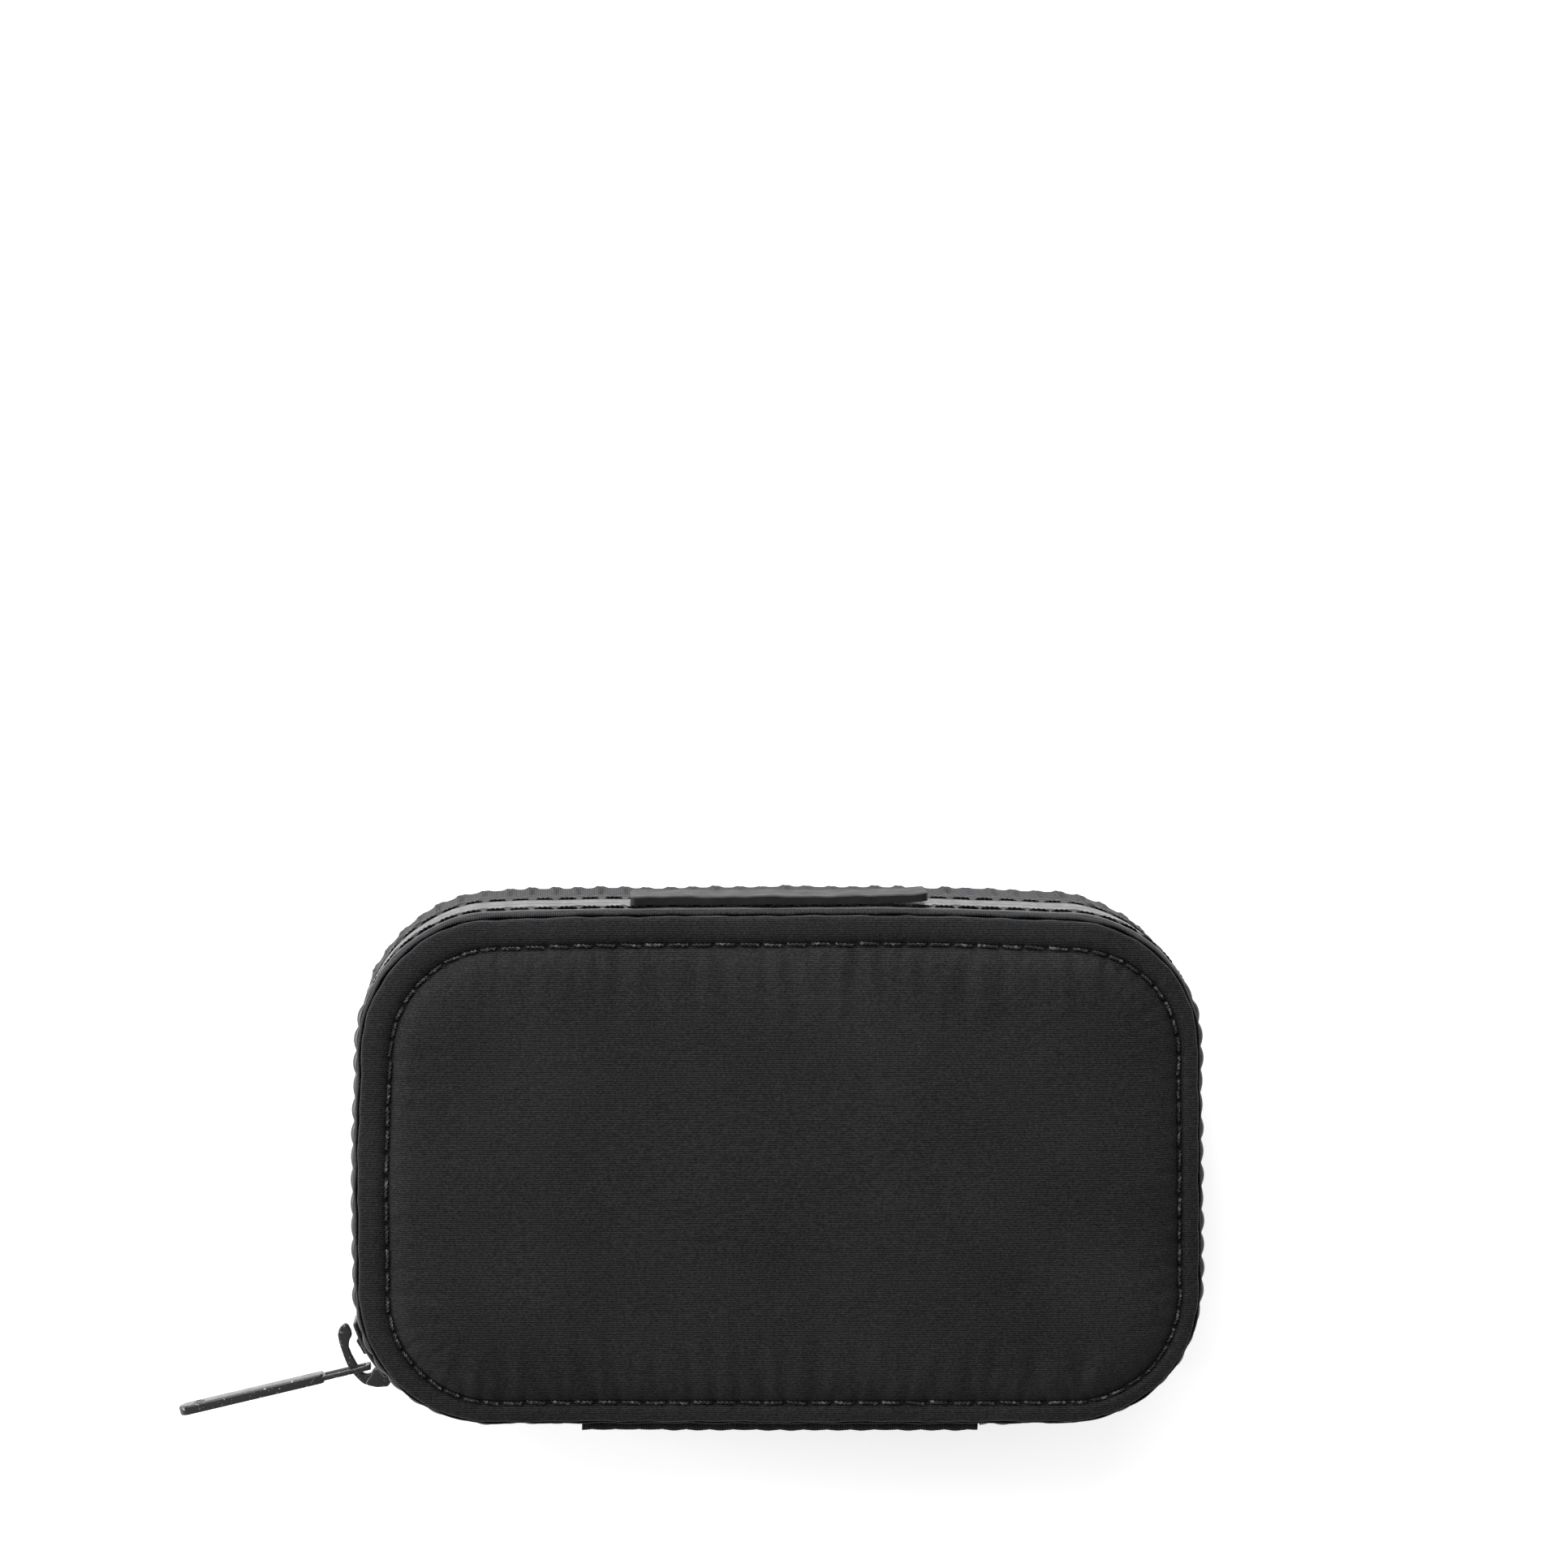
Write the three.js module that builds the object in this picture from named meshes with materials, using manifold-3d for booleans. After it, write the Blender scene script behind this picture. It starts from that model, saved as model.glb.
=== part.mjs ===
// A zip-round jewellery case: two padded fabric half shells joined by a cloth hinge along one long
// side and by a zip round the other three. It lies on its back, lid up, with its hinge towards +Y.
import * as THREE from "three";
import { mergeVertices } from "three/addons/utils/BufferGeometryUtils.js";
import Module from "manifold-3d";

const wasm = await Module();
wasm.setup();

// Driving dimensions, in millimetres. Heights are above the rest face.
const PANEL_LENGTH = 133;
const PANEL_WIDTH = 79.6;
const CORNER_RADIUS = 21;
const CORNER_STEPS = 6;
const CASE_HEIGHT = 40;
const LID_CROWN = 2;
const ZIP_HEIGHT = 26.5;
const BACK_SEAM_HEIGHT = 19;
const FRONT_SEAM_HEIGHT = 34;
const GAP = 0.3;

// Distances out from the panel edge, negative inwards.
const TAPE_OUT = 1.3;
const TAPE_THICKNESS = 0.7;
const FABRIC_THICKNESS = 0.9;
const BOARD_OUT = -0.9;
const BOARD_THICKNESS = 1.2;
const LINING_OUT = -2.4;
const LINING_THICKNESS = 0.8;
const PAD_OUT = -1.5;
const COIL_OUT = 0.3;
const COIL_IN = -1.1;

// Half the slit between the two zip tapes, which the slider's post runs in.
const SLIT = 0.7;
const COIL_WIDTH = 1.8;

const HINGE_LENGTH = 63;
const TRAY_FLOOR = 5.9;
const TRAY_WALL_TOP = 21.5;
const LID_CEILING = 34.6;
const LID_WALL_FOOT = 31.5;

const ROLL_COUNT = 4;
const ROLL_WIDTH = 9.6;
const ROLL_HEIGHT = 13;
const ROLL_PITCH = 10.5;
const ROLL_FIRST_X = -18;
const ROLL_LENGTH = 67;
const DIVIDER_THICKNESS = 1.4;
const DIVIDER_TOP = 21;
const RING_DIVIDER_X = -11.2;
const LONG_DIVIDER_Y = 4;
const SHORT_DIVIDER_X = 26;

const LABEL_LENGTH = 47;
const LABEL_WIDTH = 11;
const LABEL_THICKNESS = 1.4;
const LABEL_FOOT = 22.5;

const TAB_X = [-30, 0, 30];
const TAB_ROOT_Y = -33;
const TAB_LENGTH = 11;
const TAB_WIDTH = 9;
const TAB_AXIS_HEIGHT = 32.2;

// The slider stands on the corner's arc. Its wings are arc bands, from one radius to another.
const SLIDER_ANGLE = 30;
const SLIDER_HALF_HEIGHT = 3.6;
const SLIDER_HALF_ARC = 12.5;
const WING_OUTER = [CORNER_RADIUS + 1.9, CORNER_RADIUS + 2.6];
const WING_INNER = [CORNER_RADIUS - 2.7, CORNER_RADIUS - 1.6];
const POST_WIDTH = 0.8;
const BRIDGE_TOP = WING_OUTER[1] + 3.9;
const BRIDGE_WIDTH = 1.4;
const PULL_AXIS = [WING_OUTER[1] + 1.15, 2.6];
const PULL_ANGLE = 13;
const PULL_LENGTH = 31;
const PULL_ROOT = 0.4;
const PULL_EYE = [PULL_ROOT, 7];
const PULL_EYE_HALF = 0.95;
const NECK_HALF = 1.6;
const NECK_THICKNESS = 0.8;
const BLADE_START = 7.6;
const BLADE_HALF = 1.75;
const BLADE_THICKNESS = 1.5;

const CORNER_X = PANEL_LENGTH / 2 - CORNER_RADIUS;
const CORNER_Y = PANEL_WIDTH / 2 - CORNER_RADIUS;

const MATERIALS = {
  fabric: [0x1d1d1f, 0.8, 0],
  tape: [0x2a2a2c, 0.3, 0],
  coil: [0x141415, 0.5, 0],
  metal: [0x28292b, 0.42, 0.6],
  label: [0x1a1a1b, 0.55, 0],
  lining: [0x3a3a3d, 0.95, 0],
  foam: [0x55565a, 0.95, 0],
  board: [0x8a7a62, 0.9, 0],
  snap: [0x6d6e72, 0.3, 0.9],
};

function degrees(value) {
  return THREE.MathUtils.degToRad(value);
}

function material([color, roughness, metalness]) {
  return new THREE.MeshStandardMaterial({ color, roughness, metalness });
}

// A closed geometry as a solid, with its faces turned outwards.
function solid(geometry) {
  const bare = geometry.clone();
  bare.deleteAttribute("normal");
  bare.deleteAttribute("uv");
  const merged = mergeVertices(bare, 1e-3);
  const triVerts = new Uint32Array(merged.index.array);
  const vertProperties = new Float32Array(merged.attributes.position.array);
  const made = new wasm.Manifold(new wasm.Mesh({ numProp: 3, vertProperties, triVerts }));
  if (made.volume() > 0) return made;
  triVerts.reverse();
  return new wasm.Manifold(new wasm.Mesh({ numProp: 3, vertProperties, triVerts }));
}

function node(name, kind, made) {
  const { vertProperties, triVerts } = made.getMesh();
  const geometry = new THREE.BufferGeometry();
  geometry.setAttribute("position", new THREE.BufferAttribute(vertProperties, 3));
  geometry.setIndex(new THREE.BufferAttribute(triVerts, 1));
  geometry.computeVertexNormals();
  const mesh = new THREE.Mesh(geometry, material(MATERIALS[kind]));
  mesh.name = name;
  return mesh;
}

// Points round the panel edge, anticlockwise from above, each with its outward direction.
function panelEdge() {
  const points = [];
  const corners = [[1, 1], [-1, 1], [-1, -1], [1, -1]];
  corners.forEach(([sx, sy], corner) => {
    for (let step = 0; step <= CORNER_STEPS; step++) {
      const angle = degrees(90 * (corner + step / CORNER_STEPS));
      const out = new THREE.Vector2(Math.cos(angle), Math.sin(angle));
      points.push({ x: sx * CORNER_X, y: sy * CORNER_Y, out });
    }
  });
  return points;
}

// A lathe profile carried round the panel edge instead of a circle. Each point of the profile is
// [out from the panel edge, height, share of the way from the centre], and the share is 1 if left out.
function carried(profile) {
  const edge = panelEdge();
  const closed = [...profile, profile[0]];
  const outline = closed.map(([out, height]) => new THREE.Vector2(CORNER_RADIUS + out, height));
  const geometry = new THREE.LatheGeometry(outline, edge.length);
  const position = geometry.attributes.position;
  for (let i = 0; i < position.count; i++) {
    const at = edge[Math.floor(i / closed.length) % edge.length];
    const [out, height, share = 1] = closed[i % closed.length];
    const reach = CORNER_RADIUS + out;
    position.setXYZ(i, share * (at.x + at.out.x * reach), share * (at.y + at.out.y * reach), height);
  }
  return solid(geometry);
}

// A flat plate with the panel's outline.
function plate(out, low, high) {
  return carried([[out, low, 0], [out, low], [out, high], [out, high, 0]]);
}

// A tray whose floor lies between two heights and whose wall ends at a third.
function tray(floorOuter, floorInner, wallEnd) {
  const inner = LINING_OUT - LINING_THICKNESS;
  return carried([
    [LINING_OUT, floorOuter, 0],
    [LINING_OUT, floorOuter],
    [LINING_OUT, wallEnd],
    [inner, wallEnd],
    [inner, floorInner],
    [inner, floorInner, 0],
  ]);
}

// A wall of even thickness round the panel edge, from the points of its outer face.
function wall(outer, thickness) {
  const inner = outer.map(([out, height]) => [out - thickness, height]).reverse();
  return carried([...outer, ...inner]);
}

function block(low, high) {
  const size = high.map((value, i) => value - low[i]);
  const geometry = new THREE.BoxGeometry(...size);
  geometry.translate(...high.map((value, i) => (value + low[i]) / 2));
  return solid(geometry);
}

// An outline in one plane, extruded evenly; its bevel stays inside the outline's thickness.
function extruded(shape, low, high, bevel = 0) {
  const settings = { depth: high - low - 2 * bevel, curveSegments: 5, bevelEnabled: bevel > 0 };
  Object.assign(settings, { bevelThickness: bevel, bevelSize: bevel, bevelSegments: 1 });
  Object.assign(settings, { bevelOffset: -bevel });
  return new THREE.ExtrudeGeometry(shape, settings).translate(0, 0, low + bevel);
}

// A rectangle with round corners, from its low and high corners.
function roundedShape([x0, y0], [x1, y1], radius) {
  const shape = new THREE.Shape();
  shape.moveTo(x0 + radius, y0);
  shape.lineTo(x1 - radius, y0);
  shape.absarc(x1 - radius, y0 + radius, radius, -Math.PI / 2, 0);
  shape.lineTo(x1, y1 - radius);
  shape.absarc(x1 - radius, y1 - radius, radius, 0, Math.PI / 2);
  shape.lineTo(x0 + radius, y1);
  shape.absarc(x0 + radius, y1 - radius, radius, Math.PI / 2, Math.PI);
  shape.lineTo(x0, y0 + radius);
  shape.absarc(x0 + radius, y0 + radius, radius, Math.PI, 1.5 * Math.PI);
  return shape;
}

// The zip stops at both ends of the hinge, so its tapes and coils are cut away there.
function openAtHinge(ring) {
  const half = HINGE_LENGTH / 2 + GAP;
  return ring.subtract(block([-half, CORNER_Y + 5, 0], [half, PANEL_WIDTH, CASE_HEIGHT]));
}

// The same shape turned upside down about the zip's height.
function mirroredInZip(points) {
  return points.map(([out, height, ...share]) => [out, 2 * ZIP_HEIGHT - height, ...share]);
}

// Outer panel of the back: flat where it rests, turned up a little at its edge.
function baseCover() {
  return carried([[-2.5, 0, 0], [-2.5, 0], [-0.6, 0.25], [0, 1.1], [-2.5, 1.1], [-2.5, 1.1, 0]]);
}

// Outer panel of the lid: a flat rim inside the seam and a padded field crowned over the foam.
function lidCover() {
  const rim = CASE_HEIGHT;
  const under = rim - 1.1;
  return carried([
    [-4, under, 0],
    [-4, under, 0.5],
    [-4, under],
    [-0.2, under],
    [0, rim - 0.5],
    [-0.7, rim],
    [-3.4, rim - 0.3],
    [-6.5, rim + 0.7],
    [-10, rim + 0.7 * LID_CROWN, 0.9],
    [-12, rim + LID_CROWN, 0.5],
    [-12, rim + LID_CROWN, 0],
  ]);
}

function lidGusset() {
  const outer = [[1.2, FRONT_SEAM_HEIGHT + GAP], [1.4, 36], [0.9, 37.6], [0.1, CASE_HEIGHT - 1.5]];
  return wall(outer, FABRIC_THICKNESS);
}

function baseGusset() {
  const outer = [[-0.3, 1.5], [0.9, 3], [1.5, 7], [1.3, 12], [1.2, BACK_SEAM_HEIGHT - GAP]];
  return wall(outer, FABRIC_THICKNESS);
}

function tapeProfile() {
  return [[1.1, BACK_SEAM_HEIGHT], [TAPE_OUT, 22.5], [TAPE_OUT, ZIP_HEIGHT - SLIT]];
}

function coilProfile() {
  const high = ZIP_HEIGHT - SLIT - 0.1;
  const low = high - COIL_WIDTH;
  const edge = 0.4;
  return [
    [COIL_IN, low + edge],
    [COIL_IN + edge, low],
    [COIL_OUT - edge, low],
    [COIL_OUT, low + edge],
    [COIL_OUT, high - edge],
    [COIL_OUT - edge, high],
    [COIL_IN + edge, high],
    [COIL_IN, high - edge],
  ];
}

function boardWall(low, high) {
  return wall([[BOARD_OUT, low], [BOARD_OUT, high]], BOARD_THICKNESS);
}

// Half of the cloth hinge, on the base: a strip sewn over the gusset that bulges up to the fold line.
function hingeStrip() {
  const edge = PANEL_WIDTH / 2;
  const foot = BACK_SEAM_HEIGHT - 1.4;
  const fold = ZIP_HEIGHT - GAP;
  const section = [[1.7, foot], [2.4, foot], [2.9, 21.5], [3.3, fold], [2.4, fold], [2, 21.5]];
  const shape = new THREE.Shape(section.map(([out, z]) => new THREE.Vector2(edge + out, z)));
  const half = HINGE_LENGTH / 2;
  return extruded(shape, -half, half).rotateY(Math.PI / 2).rotateX(Math.PI / 2);
}

function ringRoll(x) {
  const half = ROLL_WIDTH / 2;
  const low = TRAY_FLOOR + GAP;
  const shape = roundedShape([x - half, low], [x + half, low + ROLL_HEIGHT], half - 0.4);
  const geometry = extruded(shape, -ROLL_LENGTH / 2, ROLL_LENGTH / 2, 1);
  geometry.rotateX(Math.PI / 2);
  return solid(geometry);
}

function dividers() {
  const half = DIVIDER_THICKNESS / 2;
  const low = TRAY_FLOOR + GAP;
  const innerX = PANEL_LENGTH / 2 + LINING_OUT - LINING_THICKNESS - GAP;
  const innerY = PANEL_WIDTH / 2 + LINING_OUT - LINING_THICKNESS - GAP;
  const start = RING_DIVIDER_X + half + GAP;
  const back = LONG_DIVIDER_Y + half + GAP;
  const ring = block([RING_DIVIDER_X - half, -innerY, low], [RING_DIVIDER_X + half, innerY, DIVIDER_TOP]);
  const long = block([start, LONG_DIVIDER_Y - half, low], [innerX, LONG_DIVIDER_Y + half, DIVIDER_TOP]);
  const short = block([SHORT_DIVIDER_X - half, back, low], [SHORT_DIVIDER_X + half, innerY, DIVIDER_TOP]);
  return { divider_ring: ring, divider_long: long, divider_short: short };
}

function labelPatch() {
  const shape = roundedShape([-LABEL_LENGTH / 2, 0], [LABEL_LENGTH / 2, LABEL_WIDTH], 0.8);
  const geometry = extruded(shape, 0, LABEL_THICKNESS, 0.3);
  geometry.rotateX(Math.PI / 2);
  geometry.translate(0, -PANEL_WIDTH / 2 - TAPE_OUT - GAP, LABEL_FOOT);
  return solid(geometry);
}

function disc(radius, x, y, low, high) {
  const outline = [[0, low], [radius, low], [radius, high], [0, high]];
  const geometry = new THREE.LatheGeometry(outline.map((p) => new THREE.Vector2(...p)), 14);
  return solid(geometry.rotateX(Math.PI / 2).translate(x, y, 0));
}

function tabStrap(x) {
  const half = TAB_WIDTH / 2;
  const shape = roundedShape([x - half, TAB_ROOT_Y - 0.6], [x + half, TAB_ROOT_Y + TAB_LENGTH], 0.6);
  return solid(extruded(shape, TAB_AXIS_HEIGHT - 0.6, TAB_AXIS_HEIGHT + 0.6, 0.2));
}

// An arc band about the corner's centre, as deep as the two heights.
function band([inner, outer], halfAngle, low, high) {
  const shape = new THREE.Shape();
  shape.absarc(0, 0, outer, -degrees(halfAngle), degrees(halfAngle));
  shape.absarc(0, 0, inner, degrees(halfAngle), -degrees(halfAngle), true);
  return solid(extruded(shape, low, high));
}

// Slider casting about the corner's centre, pointing along +X: two wings and the post between.
function sliderBody() {
  const outer = band(WING_OUTER, SLIDER_HALF_ARC, -SLIDER_HALF_HEIGHT, SLIDER_HALF_HEIGHT);
  const inner = band(WING_INNER, SLIDER_HALF_ARC, -SLIDER_HALF_HEIGHT, SLIDER_HALF_HEIGHT);
  const half = POST_WIDTH / 2;
  const post = block([WING_INNER[1] - 0.3, -1.5, -half], [WING_OUTER[0] + 0.3, 1.5, half]);
  return outer.add(inner).add(post);
}

// The arch that the pull hangs on: a lug at one end, and a hook that comes down short of the wing at
// the other. Points are [out, along], both measured from the middle of the bar's outer face.
function sliderBridge() {
  const outer = [[-3.6, 5.9], [-1.4, 5.3], [-0.55, 4.5], [0, 2.1], [0, 0.1], [-0.9, -4.1], [-1.9, -5.2]];
  const inner = [[-3.4, -5.4], [-3.3, -3.2], [-2.2, -2.6], [-1.45, -1.4], [-1.35, 2.4], [-1.6, 3.5], [-3.6, 3.9]];
  const points = [...outer, ...inner].map(([out, along]) => new THREE.Vector2(BRIDGE_TOP + out, along));
  return solid(extruded(new THREE.Shape(points), -BRIDGE_WIDTH / 2, BRIDGE_WIDTH / 2));
}

// The leaf under the hook that locks the slider while the pull lies flat.
function sliderPawl() {
  const low = WING_OUTER[1] + GAP;
  return block([low, -2.2, -0.8], [low + 0.4, 0.6, 0.8]);
}

// Flat pull with its root bar on the Z axis: an eye round the bridge, a neck and a thicker blade.
function pullTab() {
  const neckEnd = BLADE_START + 1;
  const neck = new THREE.Shape();
  neck.moveTo(-PULL_ROOT, -NECK_HALF);
  neck.lineTo(neckEnd, -NECK_HALF);
  neck.lineTo(neckEnd, NECK_HALF);
  neck.lineTo(-PULL_ROOT, NECK_HALF);
  const [eyeStart, eyeEnd] = PULL_EYE;
  const eye = new THREE.Path();
  eye.moveTo(eyeStart, -PULL_EYE_HALF);
  eye.lineTo(eyeStart, PULL_EYE_HALF);
  eye.lineTo(eyeEnd, PULL_EYE_HALF);
  eye.lineTo(eyeEnd, -PULL_EYE_HALF);
  neck.holes.push(eye);
  const tip = PULL_LENGTH - BLADE_HALF;
  const blade = new THREE.Shape();
  blade.moveTo(BLADE_START, -BLADE_HALF);
  blade.absarc(tip, 0, BLADE_HALF, -Math.PI / 2, Math.PI / 2);
  blade.lineTo(BLADE_START, BLADE_HALF);
  const neckSolid = solid(extruded(neck, -NECK_THICKNESS / 2, NECK_THICKNESS / 2));
  const bladeSolid = solid(extruded(blade, -BLADE_THICKNESS / 2, BLADE_THICKNESS / 2, 0.25));
  return neckSolid.add(bladeSolid);
}

function zipStop(side, height) {
  const x = side * (HINGE_LENGTH / 2 + 2.2);
  const y = PANEL_WIDTH / 2 + COIL_IN;
  return block([x - 1, y - 1.4, height - 1], [x + 1, y - GAP, height + 1]);
}

const jewelleryCase = new THREE.Group();

function put(kind, made) {
  Object.entries(made).forEach(([name, shape]) => jewelleryCase.add(node(name, kind, shape)));
}

put("fabric", {
  base_cover: baseCover(),
  base_gusset: baseGusset(),
  lid_cover: lidCover(),
  lid_gusset: lidGusset(),
});
put("foam", {
  base_foam: plate(PAD_OUT, 1.4, 3.3),
  lid_foam: plate(PAD_OUT, 37.2, CASE_HEIGHT - 1.4),
});
put("board", {
  base_board: plate(PAD_OUT, 3.6, 4.8),
  lid_board: plate(PAD_OUT, 35.7, 36.9),
  base_wall_board: boardWall(5.1, TRAY_WALL_TOP),
  lid_wall_board: boardWall(LID_WALL_FOOT, 35.4),
});
put("lining", {
  base_lining: tray(5.1, TRAY_FLOOR, TRAY_WALL_TOP),
  lid_lining: tray(35.4, LID_CEILING, LID_WALL_FOOT),
  ...dividers(),
});
put("tape", {
  base_tape: openAtHinge(wall(tapeProfile(), TAPE_THICKNESS)),
  lid_tape: openAtHinge(wall(mirroredInZip(tapeProfile()), TAPE_THICKNESS)),
});
put("coil", {
  base_coil: openAtHinge(carried(coilProfile())),
  lid_coil: openAtHinge(carried(mirroredInZip(coilProfile()))),
});
put("label", { label_patch: labelPatch() });

const lidStrip = hingeStrip().scale(1, 1, -1).translate(0, 0, 2 * ZIP_HEIGHT);
put("fabric", { hinge_strip_base: solid(hingeStrip()), hinge_strip_lid: solid(lidStrip) });

for (let i = 0; i < ROLL_COUNT; i++) {
  put("lining", { [`ring_roll_${i + 1}`]: ringRoll(ROLL_FIRST_X - i * ROLL_PITCH) });
}

const capY = TAB_ROOT_Y + TAB_LENGTH - 4;
TAB_X.forEach((x, i) => {
  put("lining", { [`tab_strap_${i + 1}`]: tabStrap(x) });
  put("snap", { [`tab_cap_${i + 1}`]: disc(3, x, capY, TAB_AXIS_HEIGHT - 2, TAB_AXIS_HEIGHT - 0.9) });
  put("snap", { [`tab_stud_${i + 1}`]: disc(2.2, x, capY, TAB_AXIS_HEIGHT + 0.9, LID_CEILING - GAP) });
});
put("lining", {
  necklace_bar: block([-42, -36.2, 33], [42, TAB_ROOT_Y - 1.2, LID_CEILING - GAP]),
  lid_pocket: block([-49, 0, 33.4], [49, 35.4, LID_CEILING - GAP]),
  pocket_elastic: block([-49, -3, 32.8], [49, -GAP, LID_CEILING - GAP]),
});

[["base", ZIP_HEIGHT - 1.8], ["lid", ZIP_HEIGHT + 1.8]].forEach(([half, height]) => {
  put("metal", { [`zip_stop_${half}_left`]: zipStop(-1, height) });
  put("metal", { [`zip_stop_${half}_right`]: zipStop(1, height) });
});

const slider = new THREE.Group();
slider.position.set(CORNER_X, CORNER_Y, ZIP_HEIGHT);
slider.rotation.z = degrees(SLIDER_ANGLE);
slider.add(node("slider_body", "metal", sliderBody()));
slider.add(node("slider_bridge", "metal", sliderBridge()));
slider.add(node("slider_pawl", "metal", sliderPawl()));
jewelleryCase.add(slider);

const pull = new THREE.Group();
pull.position.set(...PULL_AXIS, 0);
pull.rotation.z = degrees(PULL_ANGLE - SLIDER_ANGLE);
const tab = node("pull_tab", "metal", pullTab());
tab.rotation.x = Math.PI / 2;
pull.add(tab);
slider.add(pull);

export default jewelleryCase;
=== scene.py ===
"""Looks of a zip-round jewellery case: ribbed cloth over foam, coated zip tape, stitches and slider.

The case lies on its back, lid up, with its cloth hinge towards +Y. Lengths here are in millimetres
until a mesh is made, when they become metres.
"""
import math

import bmesh
import bpy
import numpy as np
from mathutils import Matrix, Vector


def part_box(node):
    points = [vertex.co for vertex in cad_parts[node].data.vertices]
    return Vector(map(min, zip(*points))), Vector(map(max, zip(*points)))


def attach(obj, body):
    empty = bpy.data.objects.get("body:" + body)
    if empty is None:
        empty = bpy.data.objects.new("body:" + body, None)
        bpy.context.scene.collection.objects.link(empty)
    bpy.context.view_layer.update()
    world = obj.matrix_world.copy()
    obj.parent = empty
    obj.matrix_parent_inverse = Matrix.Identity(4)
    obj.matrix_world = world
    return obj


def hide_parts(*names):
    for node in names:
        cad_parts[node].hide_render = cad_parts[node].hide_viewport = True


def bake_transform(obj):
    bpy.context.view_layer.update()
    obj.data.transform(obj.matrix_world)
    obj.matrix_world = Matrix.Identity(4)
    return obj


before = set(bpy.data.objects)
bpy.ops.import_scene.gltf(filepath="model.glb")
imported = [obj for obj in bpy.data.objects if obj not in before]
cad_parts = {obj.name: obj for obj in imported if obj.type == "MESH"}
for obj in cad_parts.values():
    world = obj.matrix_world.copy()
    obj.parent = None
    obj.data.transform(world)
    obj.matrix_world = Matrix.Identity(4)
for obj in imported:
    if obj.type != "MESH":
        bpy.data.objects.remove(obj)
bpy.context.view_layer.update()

MM = 0.001
WELD = 0.02 * MM


def node_box(node):
    """Lowest and highest corner of a CAD node, in millimetres."""
    low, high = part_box(node)
    return np.array(low) / MM, np.array(high) / MM


# Sizes shared by several pieces. Heights are above the rest face.
PANEL_HALF = node_box("lid_cover")[1][:2]
CORNER = 21.0
STRAIGHT = PANEL_HALF - CORNER
ZIP_HEIGHT = 26.5
FRONT_ROW = 34.0
BACK_ROW = 19.2
PERIMETER = 4 * STRAIGHT.sum() + 2 * math.pi * CORNER
STITCHES = 104
PITCH = PERIMETER / STITCHES
HINGE_HALF = (node_box("hinge_strip_base")[1] - node_box("hinge_strip_base")[0])[0] / 2
TOP_STITCH_INSET = 3.4

# How far the sewn outline stands out from the nominal one, as [run, millimetres], and how far along
# the run it is evened out to either side.
SLACK = [[0, 0.15], [25, 0.35], [45, 0.45], [62, 0.10], [78, -0.70], [97, -0.80], [112, -1.05],
         [132, -1.15], [147, -1.20], [158, -0.60], [168, -0.25], [178, 0.0], [225, -0.05], [237, -0.35],
         [245, -0.60], [256, -0.95], [270, -1.10], [277, -0.95], [283, -0.55], [292, -0.25], [302, -0.30],
         [310, -0.45], [318, -0.30], [327, -0.20], [344, -0.25], [365, -0.15], [PERIMETER, 0.15]]
SLACK_REACH = 6

# The lid's padded field and its stitches lie a little off the middle of the rim.
FIELD_SHIFT = np.array([-0.7, 0.7])

rng = np.random.default_rng(7)


# ---------------------------------------------------------------- meshes

def mesh_piece(name, points, faces, material, body=None, smooth=True):
    """A mesh object from points in millimetres, riding on a body."""
    mesh = bpy.data.meshes.new(name)
    mesh.from_pydata((np.asarray(points, float) * MM).tolist(), [], [list(map(int, f)) for f in faces])
    mesh.validate()
    mesh.polygons.foreach_set("use_smooth", [smooth] * len(mesh.polygons))
    piece = bpy.data.objects.new(name, mesh)
    bpy.context.scene.collection.objects.link(piece)
    piece.data.materials.append(material)
    if body:
        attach(piece, body)
    return piece


def grid_faces(rows, columns, wrap_rows=False, wrap_columns=False, start=0):
    """Quads over a grid of points stored row by row."""
    r = np.arange(rows if wrap_rows else rows - 1)
    c = np.arange(columns if wrap_columns else columns - 1)
    r, c = np.meshgrid(r, c, indexing="ij")
    r2 = (r + 1) % rows
    c2 = (c + 1) % columns
    quads = np.stack([r * columns + c, r2 * columns + c, r2 * columns + c2, r * columns + c2], -1)
    return (quads.reshape(-1, 4) + start).tolist()


def set_run(piece, run):
    """Stores a point attribute that the weave follows, in millimetres along and across the cloth."""
    attribute = piece.data.attributes.new("run", "FLOAT_VECTOR", "POINT")
    flat = np.zeros((len(piece.data.vertices), 3), np.float32)
    flat[:, :2] = run
    attribute.data.foreach_set("vector", flat.ravel())


def turn_outwards(piece, weld=0):
    """Makes the faces of a closed mesh look outwards, after joining points nearer than `weld` metres."""
    work = bmesh.new()
    work.from_mesh(piece.data)
    if weld:
        bmesh.ops.remove_doubles(work, verts=work.verts, dist=weld)
    bmesh.ops.recalc_face_normals(work, faces=work.faces)
    work.to_mesh(piece.data)
    work.free()


def smoothed(points, rounds=3, closed=False):
    """Corner-cutting subdivision of a profile, which rounds its corners."""
    points = np.asarray(points, float)
    for _ in range(rounds):
        following = np.roll(points, -1, 0) if closed else points[1:]
        start = points if closed else points[:-1]
        cut = np.stack([0.75 * start + 0.25 * following, 0.25 * start + 0.75 * following], 1)
        cut = cut.reshape(-1, points.shape[1])
        points = cut if closed else np.vstack([points[:1], cut, points[-1:]])
    return points


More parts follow.
